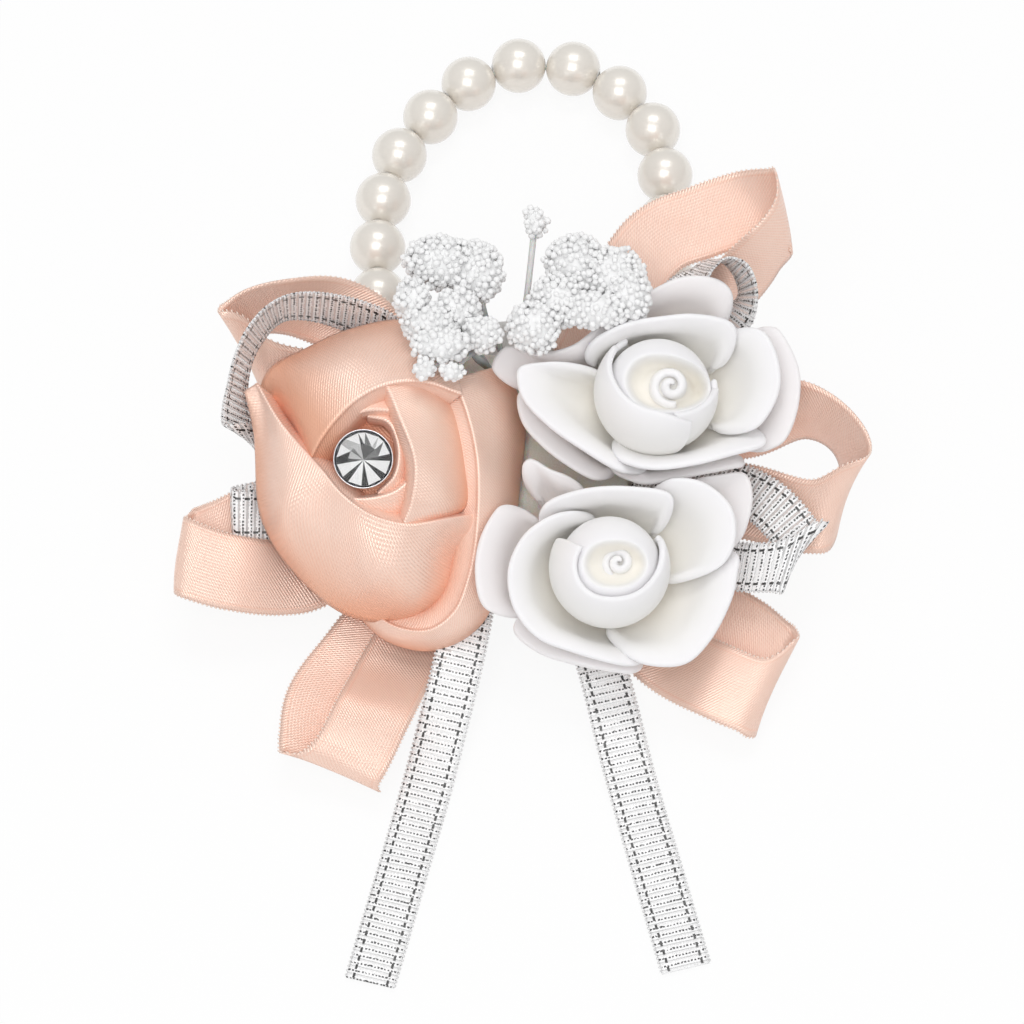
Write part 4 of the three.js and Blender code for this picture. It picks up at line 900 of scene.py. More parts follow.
def fold_grid(fold, number, rows=110, columns=46):
    share = np.linspace(0, 1, rows)
    rim, foot = smooth_line(fold["rim"], share), smooth_line(fold["foot"], share)
    outward = unit(np.cross(rim - foot, np.gradient(rim, axis=0)))
    outward *= np.where(outward[:, 2:] < 0, -1, 1)
    inward = unit(np.concatenate([ROSE_EYE - rim[:, :2], np.zeros((rows, 1))], 1))
    climb = unit(rim - foot)
    swell = blend_values(fold["swell"], share)
    waves, height = fold["ridges"]
    section = []
    for b in FACE_STEPS:
        bulge = math.sin(math.pi * b)
        crease = height * np.sin(waves * 2 * math.pi * share + RIDGE_SLANT * b + number) * bulge
        section.append(foot + (rim - foot) * b + outward * (swell * bulge + crease)[:, None])
    section.append(rim + climb * RIM_OVER + inward * RIM_IN)
    section.append(rim + inward * RIM_BACK - [0, 0, RIM_DOWN])
    for depth in LINING_STEPS:
        reach = LINING_GAP + fold["inset"] * math.sqrt(depth)
        section.append(rim + inward * reach - [0, 0, fold["drop"] * depth])
    face_end = (len(FACE_STEPS) - 1) / (len(section) - 1)
    face = np.linspace(0, face_end, columns // 2)
    lining = np.linspace(face_end, 1, columns - columns // 2 + 1)[1:]
    knots = np.concatenate([face, lining])
    return np.stack([smooth_line(line, knots) for line in np.stack(section, 1)])


def cloth_lengths(grid):
    along = np.linalg.norm(np.diff(grid, axis=0), axis=-1).mean(1)
    across = np.linalg.norm(np.diff(grid, axis=1), axis=-1).mean(0)
    y, x = np.concatenate([[0], np.cumsum(along)]), np.concatenate([[0], np.cumsum(across)])
    return np.stack(np.meshgrid(y, x, indexing="ij"), -1)[..., ::-1].reshape(-1, 2), y[-1], x[-1]


print("points of a fold:", fold_grid(SATIN_FOLDS[0], 1).shape[:2])

# %% Satin rose
FOLD_HALF = 0.16
# Painted shade across each fold: deep at the hidden hem, none on the open face, deep again down the lining
CLOSED_PLACES, CLOSED_PAINTED_SHADE = [0, 0.16, 0.3, 0.72, 0.82, 1], [0.9, 0.3, 0, 0, 0.5, 0.95]
GROOVE_PLACES = [0, 0.25, 0.44]
for number, fold in enumerate(SATIN_FOLDS, 1):
    grid = fold_grid(fold, number)
    uv, length, width = cloth_lengths(grid)
    fold_painted_shade = np.interp(np.linspace(0, 1, grid.shape[1]), CLOSED_PLACES, CLOSED_PAINTED_SHADE)
    # A fold with a groove value also gets painted shade near its start, where it dives under its neighbour
    depth = fold.get("groove", 0)
    groove = np.interp(np.linspace(0, 1, grid.shape[0]), GROOVE_PLACES, [depth, depth, 0])
    tone = np.tile(np.maximum(fold_painted_shade[None], groove[:, None]).ravel(), 2)
    petal = head_piece(f"rose_fold_{number}", sheet_skin(grid, FOLD_HALF), [satin], "satin",
                       replaces=["satin_rose"], uv=np.concatenate([uv, uv]), tone=tone)
    print(petal.name, "cloth in mm:", round(float(width), 1), "by", round(float(length), 1))

# %% Core of the rose
CORE_LINE = [[4, 5.0], [11, 5.2], [12.4, 6.6], [12.0, 12], [5, 13.9], [0.3, 13.9]]
CORE_AXIS = [-17, -3, 0]
# The core lies deep round the stone, so it is painted with strong shade
CORE_PAINTED_SHADE = 0.8
points, faces = lathe_skin(CORE_LINE, 64)
head_piece("rose_core", (points + CORE_AXIS, faces), [satin], "satin", replaces=["satin_rose"],
           uv=points[:, :2] + points[:, 2:] * [1, 0.3], tone=np.full(len(points), CORE_PAINTED_SHADE))
print("core across in mm:", round(float(np.ptp(points[:, 0])), 1))

# %% [markdown]
# ## Stone
# The stone is a foil-backed glass brilliant. Its sparkle comes from the pavilion: a faceted cone behind
# the glass that throws light back from some facets and stays dark on others. Here that sparkle is painted:
# we make a cone of foil facets in fixed greys, from bright to near black, as painted reflections, and set a
# clear, cut crown over it. Clear glass alone would only show the white room.

# %% Stone finishes
BRIGHT, PALE, MID, DARK = range(4)
# Grey levels of the foil facets: painted reflections on a plain, non-metal foil, from a bright glint to near
# black
PAINTED_REFLECTION_LEVELS = {"bright": 0.95, "pale": 0.5, "mid": 0.14, "dark": 0.015}
crystal = Finish("clear_crystal", (0.04, 0.04, 0.05), 0.03, Alpha=0.06, IOR=2.2, Specular_IOR_Level=1.0)
crystal.bump(crystal.node("ShaderNodeTexNoise", Scale=900.0, Detail=2.0).outputs["Fac"], 0.02, 0.0001)
foils = []
for shade_name, level in PAINTED_REFLECTION_LEVELS.items():
    foil = Finish(f"foil_{shade_name}", (level, level, level), 0.2, Specular_IOR_Level=0.15)
    streak = foil.node("ShaderNodeTexNoise", Scale=1200.0, Detail=2.0).outputs["Fac"]
    foil.paint(foil.ramp(streak, [(0.3, (level * 0.85,) * 3), (0.7, (min(1, level * 1.1),) * 3)]))
    foils.append(foil.material)
chrome = Finish("setting_chrome", (0.78, 0.78, 0.80), 0.2, Metallic=1.0)
chrome.speckle([(0.3, (0.66, 0.66, 0.69)), (0.7, (0.86, 0.86, 0.88))], 0.1, 0.0001, Scale=2500.0, Detail=3.0)
print("foil shades:", len(foils))

# %% Cut crown
STONE_RADIUS = 3.7
GIRDLE = 17.3
STONE_AXIS = [*ROSE_EYE, 0]
CROWN_RINGS = [(1.0, 0.0, 16, 0.0), (1.0, 0.3, 16, 0.0), (0.80, 1.25, 8, math.pi / 8), (0.56, 1.75, 8, 0.0)]


def ring_points(radius, height, count, phase=0.0):
    turn = np.linspace(0, 2 * math.pi, count, endpoint=False) + phase
    return np.stack([radius * np.cos(turn), radius * np.sin(turn), np.full(count, height)], -1)


def hull_skin(points):
    made = bmesh.new()
    for point in points:
        made.verts.new(point)
    bmesh.ops.convex_hull(made, input=made.verts)
    bmesh.ops.dissolve_limit(made, angle_limit=0.02, verts=made.verts, edges=made.edges)
    made.verts.ensure_lookup_table()
    made.verts.index_update()
    skin = np.array([v.co for v in made.verts]), [[v.index for v in f.verts] for f in made.faces]
    made.free()
    return skin


def flat_facets(piece):
    piece.data.polygons.foreach_set("use_smooth", [False] * len(piece.data.polygons))


points, faces = hull_skin(np.concatenate([ring_points(STONE_RADIUS * share, GIRDLE + rise, count, phase)
                                          for share, rise, count, phase in CROWN_RINGS]))
gem = head_piece("stone_crown", (points + STONE_AXIS, faces), [crystal.material], "crystal",
                 replaces=["rhinestone"])
flat_facets(gem)
print("facets of the crown:", len(faces))

# %% Foil pavilion
SECTORS = 16
WEDGE_SHARE = 0.66
PAVILION_TURN = 0.2
PAVILION_RINGS = [(3.55, GIRDLE - 0.05), (2.0, 16.95)]
PAVILION_TIP = [[0, 0, 16.5]]
FOIL_THICKNESS = 0.12
LIT_TURN, LIT_BELOW = 0.3, 0.25

dice = random.Random(7)
sector = np.arange(SECTORS)
spoke_turn = 4 * math.pi / SECTORS * (sector // 2 + WEDGE_SHARE * (sector % 2)) + PAVILION_TURN
spoke = np.stack([np.cos(spoke_turn), np.sin(spoke_turn), 0 * spoke_turn], -1)
inner = np.concatenate([spoke * radius + [0, 0, level] for radius, level in PAVILION_RINGS] + [PAVILION_TIP])
outer = inner - [0, 0, FOIL_THICKNESS]
count = len(inner)
faces, choice = [], []
for k in range(SECTORS):
    after = (k + 1) % SECTORS
    # The lit half gets painted glints, bright and dark wedges in turn; the rest gets painted reflections in
    # mixed greys
    lit = math.sin(spoke_turn[k] + LIT_TURN) < LIT_BELOW
    wedge = (BRIGHT if k % 2 == 0 else DARK) if lit else dice.choice([PALE, MID, DARK])
    for polygon, foil_index in (
            ([k, after, SECTORS + k], wedge if lit else dice.choice([BRIGHT, PALE, DARK])),
            ([SECTORS + k, after, SECTORS + after], wedge if lit else dice.choice([PALE, MID, DARK])),
            ([SECTORS + k, SECTORS + after, 2 * SECTORS], wedge)):
        faces += [polygon, [count + p for p in polygon[::-1]]]
        choice += [foil_index, MID]
    faces.append([after, k, count + k, count + after])
    choice.append(PALE)
backing = head_piece("stone_foil", (np.concatenate([inner, outer]) + STONE_AXIS, faces), foils, "crystal",
                     replaces=["rhinestone"], choice=choice)
flat_facets(backing)
print("foil facets:", 3 * SECTORS)

# %% Setting
CUP_LINE = [[0.05, 14.6], [1.4, 14.6], [3.88, 17.2], [3.97, 17.4], [3.95, 17.65], [3.88, 17.72],
            [3.8, 17.65], [3.78, 17.4], [3.78, 17.25], [1.1, 14.9], [0.05, 14.9]]
points, faces = lathe_skin(CUP_LINE, 64)
head_piece("stone_cup", (points + STONE_AXIS, faces), [chrome.material], "setting",
           replaces=["stone_setting"])
print("cup across in mm:", round(float(np.ptp(points[:, 0])), 2))

# %% [markdown]
# ## Foam roses
# The white roses are cut from thin craft foam. The petals are warmed and pressed so that they cup, their
# rims roll a little outwards, and their feet sit in rings under a rolled bud. Foam has body, so the rim
# is round rather than sharp: the half thickness follows a quarter circle towards every border.

# %% Foam finish
def foam_finish(name, stops):
    made = Finish(name, stops[-1][1], 0.62, Subsurface_Weight=0.3, Subsurface_Scale=0.0012, Sheen_Weight=0.1)
    made.shader.inputs["Subsurface Radius"].default_value = (1.0, 1.0, 1.0)
    # The stored value is painted shade, low and cream where a petal or bud lies deep and high and white at
    # the rims; random patches of tone are added to it
    depth = made.node("ShaderNodeAttribute", attribute_name="tone")
    pores = made.node("ShaderNodeTexNoise", Scale=1800.0, Detail=4.0, Roughness=0.6)
    made.bump(pores.outputs["Fac"], 0.12, 0.00025)
    patches = made.node("ShaderNodeTexNoise", Scale=120.0, Detail=2.0)
    level = made.math("ADD", depth.outputs["Fac"],
                      made.math("MULTIPLY", made.math("SUBTRACT", patches.outputs["Fac"], 0.5), 0.2))
    made.paint(made.ramp(level, stops))
    return made.material


# The low stops are painted shade: a warm cream towards a petal's foot and into a bud's hollow. The blushed
# foam is pinker all over, and pinker still in that painted shade
foam = foam_finish("white_foam", [
    (0.0, (0.89, 0.845, 0.76)), (0.35, (0.895, 0.875, 0.83)),
    (0.75, (0.9, 0.89, 0.88)), (1.0, (0.9, 0.89, 0.91))])
blushed_foam = foam_finish("blushed_foam", [
    (0.0, (0.89, 0.80, 0.765)), (0.5, (0.895, 0.85, 0.835)), (1.0, (0.9, 0.875, 0.885))])
print("foam nodes:", len(foam.node_tree.nodes))

# %% Where the petals' rims run
FOAM_ROSES = {
    "upper": ([19, 8], [
        [[8.8, 11.7, 15], [4.3, 11.7, 16], [1, 10.8, 16.5], [1.4, 7.2, 16.5], [4.9, 3.4, 16.5],
         [9.6, 0.2, 16.5], [13.7, -2.2, 16], [17, -3.3, 14.6]],
        [[12.3, 0.2, 15], [15, -1.4, 16.5], [18.1, -2.1, 17], [23.7, -1.5, 17], [28.7, -0.2, 16.5],
         [32.3, 0.9, 15.4], [34, 2.4, 14.2]],
        [[29.5, 2, 14.7], [32.3, 3.9, 16.5], [34.4, 7.8, 17], [34.4, 11.4, 17], [33.1, 14.9, 16.5],
         [30.5, 17.4, 15.5]],
        [[29.7, 13.2, 14.5], [28.5, 16.5, 16.5], [23.8, 17.5, 17.5], [19.2, 17.1, 17.5], [15.2, 16.5, 17],
         [11.9, 15.2, 16], [8.6, 13.2, 14.5]],
    ], [
        [[31.2, 0.6, 11], [33.4, 0.8, 12.6], [35.4, 1.9, 13.2], [37.2, 6.3, 13.5], [37.3, 11.3, 13.5],
         [34.9, 16.3, 13], [33.2, 17.6, 12.5]],
        [[29, 18.6, 11], [28.6, 21.6, 12.6], [27, 23, 13], [22.7, 23.4, 13], [17.4, 21, 12.5],
         [14.7, 18.7, 11.5]],
        [[17.4, 18.4, 11.5], [12.7, 17.4, 13.5], [8.3, 14.3, 13.5], [4, 13.4, 13], [-0.7, 14.2, 13],
         [-2.5, 11.9, 13], [-2.2, 9.3, 12.4]],
        [[2.6, 10.4, 11.4], [0.9, 7.8, 12.5], [1.5, 4.3, 13], [4, 1.3, 13], [7.3, -1.2, 13],
         [10.6, -3, 12.8], [12.5, -3.2, 12]],
        [[12.2, -1.5, 11.3], [15, -2.9, 12.8], [17.2, -3.6, 13.2], [23.9, -2.5, 13.4], [29.2, -1.5, 13],
         [31, -1.1, 12.3]],
    ]),
    "lower": ([12.5, -15.5], [
        [[9.9, -7.6, 15], [5.6, -9, 17], [1.8, -11.5, 17], [-0.3, -15.8, 17], [0.3, -20.7, 16.5],
         [3.3, -24.5, 16.5], [8.2, -26.4, 16], [13.8, -27.9, 15], [17.8, -28.8, 14]],
        [[20.8, -8.8, 15], [20.1, -6.4, 17], [15.1, -5.6, 17.5], [9.9, -5.8, 17.5], [5.3, -7, 16.5],
         [2.6, -9, 15]],
        [[22.6, -17.3, 14], [27, -15.1, 16.5], [28.5, -11.9, 17], [28, -7.9, 17], [24.7, -4.9, 17],
         [21.1, -4.2, 16.5], [18.2, -4.8, 14.6]],
        [[12.5, -25.7, 13.5], [17.1, -27.9, 15.5], [22, -27.9, 16], [25.1, -25.1, 16], [28.1, -19.4, 16],
         [29, -15.3, 15.5], [29.9, -12.5, 14]],
    ], [
        [[-0.5, -6.5, 13], [-2.2, -8.2, 14.6], [-4.1, -11.9, 15.3], [-4.7, -16.2, 15.3], [-3.8, -20.2, 14.8],
         [-1, -22.2, 13.6]],
        [[9.5, -5.2, 11], [7.5, -3.6, 12.2], [5, -2.6, 13], [2.2, -1.2, 13], [0.6, -3, 12.2]],
        [[28.3, -13.9, 11], [30.4, -9.7, 12.5], [31.1, -5.6, 13], [30.2, -3, 12.6], [26.3, -3.2, 12.2],
         [22.5, -3.9, 11.2]],
        [[1.6, -20.6, 11], [0.3, -23.3, 12.4], [3.3, -26.1, 13], [8.2, -27.7, 13], [13.2, -28.6, 12.5],
         [17.2, -29.1, 11.5]],
    ]),
}
print("foam roses:", list(FOAM_ROSES))

# %% One foam petal
FLOWER_SEAT = 5.0
CORNER_SHARE = 0.16
CORNER_KEEPS = 0.6
CURL_ROOM = 0.6
ROLL_START, ROLL_DOWN = 0.66, 0.8
BELLY_PEAK = 0.8
BELLY_OUT, BELLY_DOWN = 0.75, 0.65


def end_heavy(count):
    t = np.linspace(0, 1, count)
    return t - 0.85 * np.sin(2 * math.pi * t) / (2 * math.pi)


def rounded_half(grid, half):
    along = np.linalg.norm(np.diff(grid, axis=0), axis=-1)
    across = np.linalg.norm(np.diff(grid, axis=1), axis=-1)
    y = np.concatenate([np.zeros((1, grid.shape[1])), np.cumsum(along, 0)])
    x = np.concatenate([np.zeros((grid.shape[0], 1)), np.cumsum(across, 1)], 1)
    edge = np.minimum(np.minimum(y, y[-1] - y), np.minimum(x, x[:, -1:] - x))
    return half * np.sqrt(1 - (1 - np.clip(edge / half, 0.03, 1)) ** 2)


def foam_petal(axis, rim, foot_radius, foot_rise, cup, curl, rows=72, columns=34):
    a, b = end_heavy(rows), end_heavy(columns)
    edge = smooth_line(rim, a)
    bearing = np.unwrap(np.arctan2(edge[:, 1] - axis[1], edge[:, 0] - axis[0]))
    radius = foot_radius[0] + (foot_radius[1] - foot_radius[0]) * a
    level = FLOWER_SEAT + foot_rise[0] + (foot_rise[1] - foot_rise[0]) * a
    foot = np.stack([axis[0] + radius * np.cos(bearing), axis[1] + radius * np.sin(bearing), level], -1)
    outward = edge - foot
    outward[:, 2] = 0
    outward = unit(outward)
    corner = np.clip(np.minimum(a, 1 - a) / CORNER_SHARE, 0, 1)
    full = CORNER_KEEPS + (1 - CORNER_KEEPS) * np.sqrt(1 - (1 - corner) ** 2)
    edge = foot + (edge - foot) * full[:, None] - outward * (curl - CURL_ROOM)
    grid = foot[:, None] + (edge - foot)[:, None] * b[None, :, None]
    belly = cup * np.sin(math.pi * b ** BELLY_PEAK)
    roll = curl * np.clip((b - ROLL_START) / (1 - ROLL_START), 0, 1) ** 2
    grid += outward[:, None] * (BELLY_OUT * belly + roll)[None, :, None]
    grid[..., 2] -= (BELLY_DOWN * belly + ROLL_DOWN * roll)[None]
    return grid, np.broadcast_to(b, grid.shape[:2])


print("rows of a petal crowd at its ends:", np.round(end_heavy(5), 2))

# %% Foam petals
FOAM_HALF = 0.46
PETAL_RINGS = [
    ("inner", (4.5, 6.8), (2.9, 2.2), 1.6, 1.5, foam),
    ("outer", (7.1, 9.3), (1.0, 0.4), 1.4, 1.6, blushed_foam),
]


def add_foam(name, grid, share, node, finish, half=FOAM_HALF):
    # A petal's painted shade runs from its foot, deep, to its rim, none
    tone = np.concatenate([share.ravel(), share.ravel()])
    made = head_piece(name, sheet_skin(grid, rounded_half(grid, half)), [finish], "foam",
                      replaces=[node], tone=tone)


for rose, (axis, *rings) in FOAM_ROSES.items():
    for (ring_name, foot_radius, foot_rise, cup, curl, finish), petals in zip(PETAL_RINGS, rings):
        for number, rim in enumerate(petals, 1):
            grid, share = foam_petal(axis, rim, foot_radius, foot_rise, cup, curl)
            node = f"{rose}_{ring_name}_petal_{number}"
            add_foam(f"{rose}_foam_{ring_name}_{number}", grid, share, node, finish)
    print(rose, "rose petals:", sum(len(petals) for petals in rings))

# %% [markdown]
# ## Foam buds
# The bud is rolled tight, so from above it is an egg with an opening: smooth wraps that lean inwards, a
# soft rim round the opening, and a little roll in the middle. The egg and its hollow are one skin; each
# wrap is a shell lying on it.

# %% Where the buds open
BUDS = {
    "upper": {"axis": [19, 8], "radius": 7.1, "hollow": 3.2,
              "opening": [(0, 7.4), (15, 7.0), (45, 4.9), (90, 4.2), (130, 4.9), (160, 5.0), (200, 4.2),
                          (235, 3.6), (270, 3.4), (310, 4.2), (340, 6.0)],
              "middle": [20.6, 8.3], "roll": 2.7,
              "wraps": [([(120, 8.6), (150, 7.3), (180, 5.5), (203, 4.5), (228, 3.8), (252, 3.5), (276, 3.7),
                          (296, 4.6), (312, 6.2)], 1.0, 46),
                        ([(296, 4.0), (315, 4.8), (341, 6.3), (360, 7.4), (373, 8.1)], 0.5, 0)]},
    "lower": {"axis": [12.5, -15.5], "radius": 6.8, "hollow": 1.7,
              "opening": [(0, 5.2), (24, 4.7), (63, 3.4), (90, 3.0), (120, 3.2), (150, 3.6), (188, 3.8),
                          (224, 3.6), (279, 3.3), (332, 4.4)],
              "middle": [13.6, -15.2], "roll": 2.2,
              "wraps": [([(150, 4.2), (188, 4.5), (224, 4.6), (279, 4.5), (332, 5.5),
                          (370, 6.8), (394, 7.8)], 0.8, 0)]},
}
print("wraps of each bud:", [len(bud["wraps"]) for bud in BUDS.values()])

# %% Bud, wrap and roll
BUD_EQUATOR = 13.6
BUD_RISE = 6.6
BUD_FALL = 5.6
BUD_LOW = math.radians(-57)
BUD_ROWS = 26
STEM_RADIUS = 3
STEM_RISES, STEM_PAINTED_SHADE = (0, 1.5, 3), [0.2, 0.2, 0.3]
HEART_LEVEL = 17.0
HOLLOW_ROWS = [(0.03, 0, 0), (0.08, 0.08, 0), (0.13, 0.3, 0), (0.18, 0.58, 0), (0.26, 0.8, 0),
               (0.4, 0.93, 0.1), (0.55, 0.98, 0.5), (0.7, 1, 0.9), (0.96, 1, 1)]
WRAP_LOW = math.radians(-36)
ROLL_TURNS, ROLL_FROM = 1.7, 0.6
ROLL_HOLE = 0.15
ROLL_WAIST, ROLL_BARREL = 0.85, 0.25
ROLL_FOOT, ROLL_TALL, ROLL_SLOPE = 13.0, 5.4, 1.2


def egg_point(axis, radius, offset, bearing, slope):
    rise = np.where(slope > 0, BUD_RISE, BUD_FALL) + offset
    flat = (radius + offset) * np.cos(slope)
    return np.stack([axis[0] + flat * np.cos(bearing), axis[1] + flat * np.sin(bearing),
                     BUD_EQUATOR + rise * np.sin(slope)], -1)


def bud_core(axis, radius, opening, middle, hollow, sides=96):
    bearing = np.linspace(0, 2 * math.pi, sides, endpoint=False)
    turns = np.radians([turn for turn, reach in opening] + [360 + opening[0][0]])
    reach = np.interp(bearing, turns, [reach for turn, reach in opening] + [opening[0][1]])
    for step in (1, 2, 4):
        reach = (np.roll(reach, step) + np.roll(reach, -step) + 2 * reach) / 4
    top = np.arccos(np.clip(reach / radius, 0, 1))
    stem = np.stack([axis[0] + STEM_RADIUS * np.cos(bearing), axis[1] + STEM_RADIUS * np.sin(bearing),
                     0 * bearing + FLOWER_SEAT], -1)
    rows = [stem + [0, 0, rise] for rise in STEM_RISES]
    for k in np.linspace(0, 1, BUD_ROWS):
        rows.append(egg_point(axis, radius, 0, bearing, BUD_LOW + (top - BUD_LOW) * k))
    # Painted shade: deep at the stem, lessening up the egg
    shade = STEM_PAINTED_SHADE + list(np.linspace(0.45, 1, BUD_ROWS))
    rim = rows[-1]
    heart = np.array([*middle, 0])
    for inward, sink, lift in HOLLOW_ROWS:
        flat = rim + (heart - rim) * inward
        flat[:, 2] = (rim[:, 2] - sink * hollow) * (1 - lift) + HEART_LEVEL * lift
        rows.append(flat)
        # Painted shade deepens down into the hollow and eases again at the heart
        shade.append(0.8 * (1 - sink) + 0.4 * lift)
    return np.concatenate(rows), capped_faces(len(rows), sides), np.repeat(shade, sides)


def bud_wrap(axis, radius, line, offset, slant, rows=110, columns=34):
    a, b = end_heavy(rows), end_heavy(columns)
    bearing = blend_values([turn for turn, reach in line], a)
    reach = blend_values([reach for turn, reach in line], a)
    top = np.arccos(np.clip(reach / (radius + offset), 0, 1))
    slope = WRAP_LOW + (top[:, None] - WRAP_LOW) * b[None]
    turned = np.radians(bearing[:, None] - slant * (1 - b)[None] * (a ** 3)[:, None])
    return egg_point(axis, radius, offset, turned, slope), np.broadcast_to(b, slope.shape)


def middle_roll(at, radius, rows=90, columns=20):
    a, b = np.linspace(0, 1, rows), end_heavy(columns)
    turn = ROLL_FROM + a * ROLL_TURNS * 2 * math.pi
    barrel = ROLL_WAIST + ROLL_BARREL * np.sin(math.pi * b)
    flat = (ROLL_HOLE + (radius - ROLL_HOLE) * a)[:, None] * barrel[None]
    ring = np.stack([np.cos(turn), np.sin(turn)], -1)
    height = ROLL_FOOT + (ROLL_TALL - ROLL_SLOPE * a)[:, None] * b
    grid = np.concatenate([np.array(at) + flat[..., None] * ring[:, None], height[..., None]], -1)
    # Painted shade for the roll: deeper at its foot, lighter at its top
    return grid, 0.4 + 0.5 * (0 * flat + b)


print("a bud stands", round(BUD_EQUATOR + BUD_RISE - FLOWER_SEAT, 1), "mm over its seat")

# %% Foam buds
ROLL_HALF = 0.55
for rose, bud in BUDS.items():
    node = f"{rose}_bud"
    points, faces, tone = bud_core(bud["axis"], bud["radius"], bud["opening"], bud["middle"], bud["hollow"])
    core = head_piece(f"{rose}_bud_core", (points, faces), [foam], "foam", replaces=[node], tone=tone)
    for number, (line, offset, slant) in enumerate(bud["wraps"], 1):
        grid, share = bud_wrap(bud["axis"], bud["radius"], line, offset, slant)
        add_foam(f"{rose}_bud_wrap_{number}", grid, share, node, foam)
    grid, share = middle_roll(bud["middle"], bud["roll"])
    add_foam(f"{rose}_bud_roll", grid, share, node, foam, half=ROLL_HALF)
    print(node, "height in mm:", round(float(np.ptp(points[:, 2])), 1))

# %% [markdown]
# ## Stamens
# The stamens are bunches of tiny white beads on thin plastic stems. A bunch reads as lumps of beads, like
# cauliflower, so each lump is an ellipsoid packed with small balls at even steps over its surface (a
# golden-angle spiral), with a little jitter. Stems join the lumps to the glue.

# %% Stamen finishes
frost = Finish("stamen_frost", (0.96, 0.96, 0.96), 0.6, Subsurface_Weight=0.2, Subsurface_Scale=0.0006)
frost.shader.inputs["Subsurface Radius"].default_value = (1.0, 1.0, 1.0)
frost.speckle([(0.3, (0.91, 0.91, 0.915)), (0.65, (0.94, 0.94, 0.94))], 0.15, 0.0001,
              Scale=2600.0, Detail=3.0)
stem = Finish("stamen_stem", (0.86, 0.87, 0.86), 0.25, Transmission_Weight=0.4, Subsurface_Weight=0.3,
              Subsurface_Scale=0.001)
stem.speckle([(0.3, (0.80, 0.81, 0.80)), (0.7, (0.90, 0.91, 0.90))], 0.2, 0.0001, Scale=700.0, Detail=2.0)
print("stamen finishes:", frost.material.name, stem.material.name)

# %% Stamens
BEAD = 0.5
BEAD_JITTER = 0.18
BEAD_CROWDING = 4.2
CORE_EXTRA = 0.2
STAMEN_STEM = 0.45
GOLDEN_ANGLE = math.pi * (3 - math.sqrt(5))
SPRIGS = [
    ([-1.5, 14, 5], [-4, 19, 9], [([-10, 25.7, 13], [4.6, 3.4, 2.6]), ([-5, 24.3, 13], [3.2, 3.9, 2.6])]),
    ([0.5, 15.5, 5], [1.5, 21, 9], [([2.7, 31.3, 12], [1.2, 1.9, 1.2])]),
    ([3, 15.5, 5], [5.5, 20, 10], [
        ([8, 25.7, 13], [3.7, 3.5, 2.5]), ([13, 23.9, 13], [4.2, 3.6, 2.4]),
        ([15.3, 20.6, 15], [2.6, 3.6, 2.2]), ([10.6, 18.6, 15.4], [4.2, 2.2, 1.8]),
        ([6, 20.3, 14], [4.0, 3.4, 2.4]), ([2.4, 16.4, 15.4], [3.3, 3.2, 2.2])]),
    ([-3.5, 12.5, 5], [-5.5, 13.5, 12], [
        ([-13.7, 20.3, 14.5], [2.2, 2.7, 2.0]), ([-11.3, 16.6, 16], [3.5, 2.5, 2.2]),
        ([-9.9, 13.5, 18.5], [3.7, 2.1, 1.8]), ([-11.9, 10.1, 19.3], [1.3, 1.1, 1.0]),
        ([-8.3, 9.8, 19.3], [1.3, 1.0, 1.0]), ([-4.4, 15.3, 16], [2.4, 2.2, 2.0]),
        ([-7.6, 18.8, 14.5], [3.0, 2.8, 2.2])]),
]


def lump(middle, radii, dice):
    area = (radii[0] * radii[1] + radii[1] * radii[2] + radii[0] * radii[2]) / 3
    count = int(BEAD_CROWDING * area / BEAD ** 2)
    k = np.arange(count) + 0.5
    polar, turn = np.arccos(1 - 2 * k / count), k * GOLDEN_ANGLE
    way = np.stack([np.sin(polar) * np.cos(turn), np.sin(polar) * np.sin(turn), np.cos(polar)], -1)
    places = np.array(middle) + way * np.array(radii) + dice.normal(0, BEAD_JITTER, (count, 3))
    sizes = BEAD * dice.uniform(0.8, 1.2, (count, 1)) * np.ones(3)
    core = beads(np.array([middle], float), np.eye(3)[None], np.array([radii]) + CORE_EXTRA)
    return join_skins([core, beads(places, np.tile(np.eye(3), (count, 1, 1)), sizes)])


dice = np.random.default_rng(5)
for number, (root, elbow, lumps) in enumerate(SPRIGS, 1):
    node = f"stamen_sprig_{number}"
    skins = [lump(middle, radii, dice) for middle, radii in lumps]
    head_piece(f"stamen_beads_{number}", join_skins(skins), [frost.material], "stamen", replaces=[node])
    lines = [smooth_line([root, elbow, middle], np.linspace(0, 1, 24)) for middle, radii in lumps]
    stems = join_skins([tube_skin(line, STAMEN_STEM, 8) for line in lines])
    head_piece(f"stamen_stems_{number}", stems, [stem.material], "stamen", replaces=[node])
    print(node, "beads:", sum(len(points) for points, faces in skins) // len(BALL[0]))

# %% [markdown]
# ## Stage and light
# The photo is a plain product shot: white all round and almost without shadows. So the main light is a
# broad box beside the camera: what the camera sees, the light sees too, and the folds stay open. A box
# from behind and one from each side draw the rims. The floor is a pale sheet that still takes a little of
# the corsage's shadow.

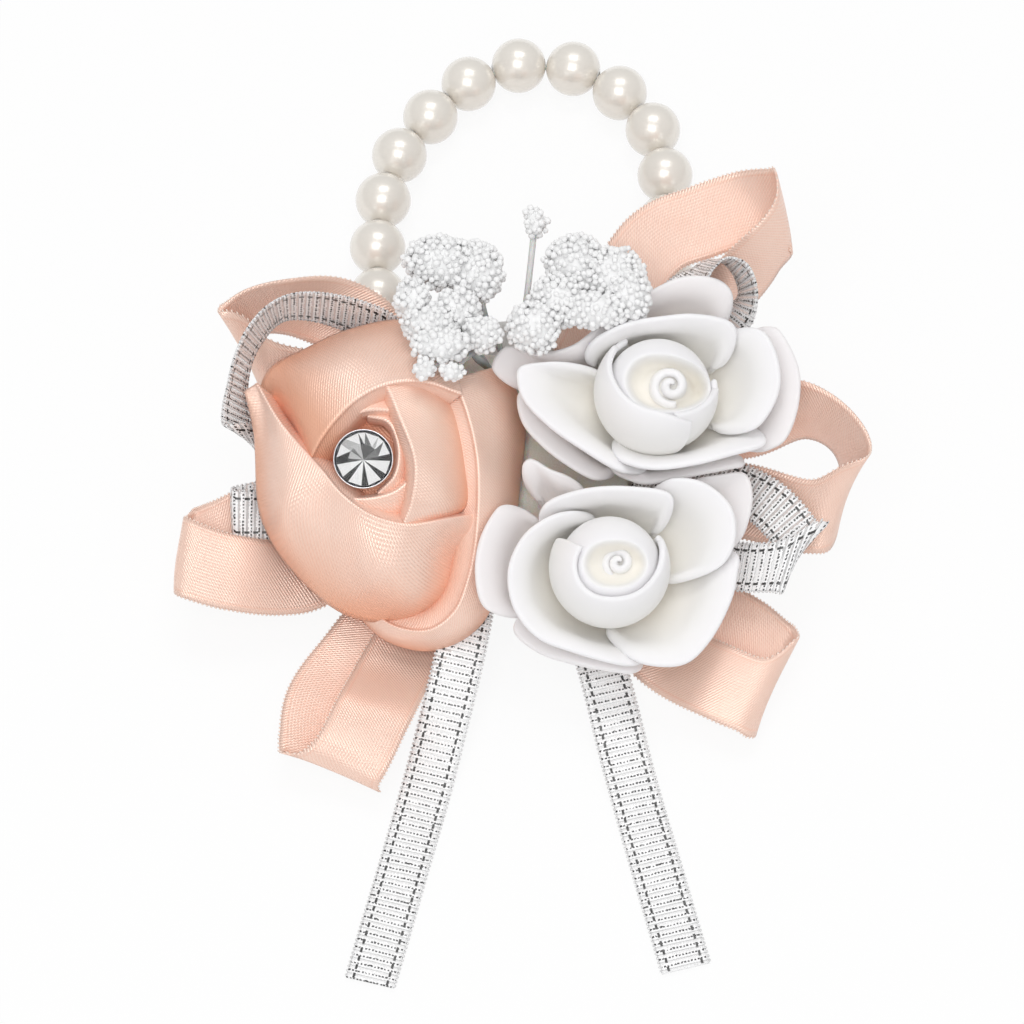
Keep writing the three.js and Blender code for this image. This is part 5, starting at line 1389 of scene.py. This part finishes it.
# %% Light
LIGHT_TARGET = Vector((0, 0, 0.02))
ROOM_LEVEL = 0.54
SOFTBOXES = [
    ("front_softbox", (-0.08, -0.36, 0.80), (0.55, 0.45), 2.4),
    ("top_softbox", (0.02, 0.25, 0.75), (0.45, 0.32), 1.4),
    ("left_softbox", (-0.38, -0.58, 0.33), (0.28, 0.35), 0.25),
    ("right_softbox", (0.38, -0.58, 0.33), (0.28, 0.35), 0.25),
]
for name, place, size, power in SOFTBOXES:
    lamp = bpy.data.lights.new(name, "AREA")
    lamp.shape = "RECTANGLE"
    lamp.size, lamp.size_y = size
    lamp.energy = power
    softbox = bpy.data.objects.new(name, lamp)
    softbox.location = place
    softbox.rotation_euler = (LIGHT_TARGET - Vector(place)).to_track_quat("-Z", "Y").to_euler()
    bpy.context.scene.collection.objects.link(softbox)
world = bpy.data.worlds.new("white_room")
bpy.context.scene.world = world
world.use_nodes = True
world.node_tree.nodes["Background"].inputs["Color"].default_value = (1, 1, 1, 1)
world.node_tree.nodes["Background"].inputs["Strength"].default_value = ROOM_LEVEL
print("softboxes:", len(SOFTBOXES))

# %% Floor
FLOOR_HALF = 3
FLOOR_LEVEL = -0.0002
WHITE_SHARE = 0.9
floor_mesh = bpy.data.meshes.new("floor")
floor_corners = [(-FLOOR_HALF, -FLOOR_HALF), (FLOOR_HALF, -FLOOR_HALF), (FLOOR_HALF, FLOOR_HALF),
                 (-FLOOR_HALF, FLOOR_HALF)]
floor_mesh.from_pydata([(x, y, FLOOR_LEVEL) for x, y in floor_corners], [], [(0, 1, 2, 3)])
paper = Finish("white_paper", (0.9, 0.9, 0.9), 0.9)
rays = paper.nodes.new("ShaderNodeLightPath").outputs
glow = paper.nodes.new("ShaderNodeEmission")
glow.inputs["Strength"].default_value = 1.0
mixer = paper.nodes.new("ShaderNodeMixShader")
seen_or_through = paper.math("MAXIMUM", rays["Is Camera Ray"], rays["Is Transmission Ray"])
seen_anyhow = paper.math("MAXIMUM", seen_or_through, rays["Is Glossy Ray"])
paper.wire(paper.math("MULTIPLY", seen_anyhow, WHITE_SHARE), mixer.inputs["Fac"])
paper.wire(paper.shader.outputs["BSDF"], mixer.inputs[1])
paper.wire(glow.outputs["Emission"], mixer.inputs[2])
paper.wire(mixer.outputs["Shader"], paper.nodes["Material Output"].inputs["Surface"])
floor_mesh.materials.append(paper.material)
floor = bpy.data.objects.new("floor", floor_mesh)
bpy.context.scene.collection.objects.link(floor)
floor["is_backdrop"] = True
bpy.context.scene.view_settings.view_transform = "Standard"
print("floor in m:", 2 * FLOOR_HALF, "across")

# %% Finish
low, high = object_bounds()
print("finished box in mm:", [round((h - l) * 1000, 1) for l, h in zip(low, high)])
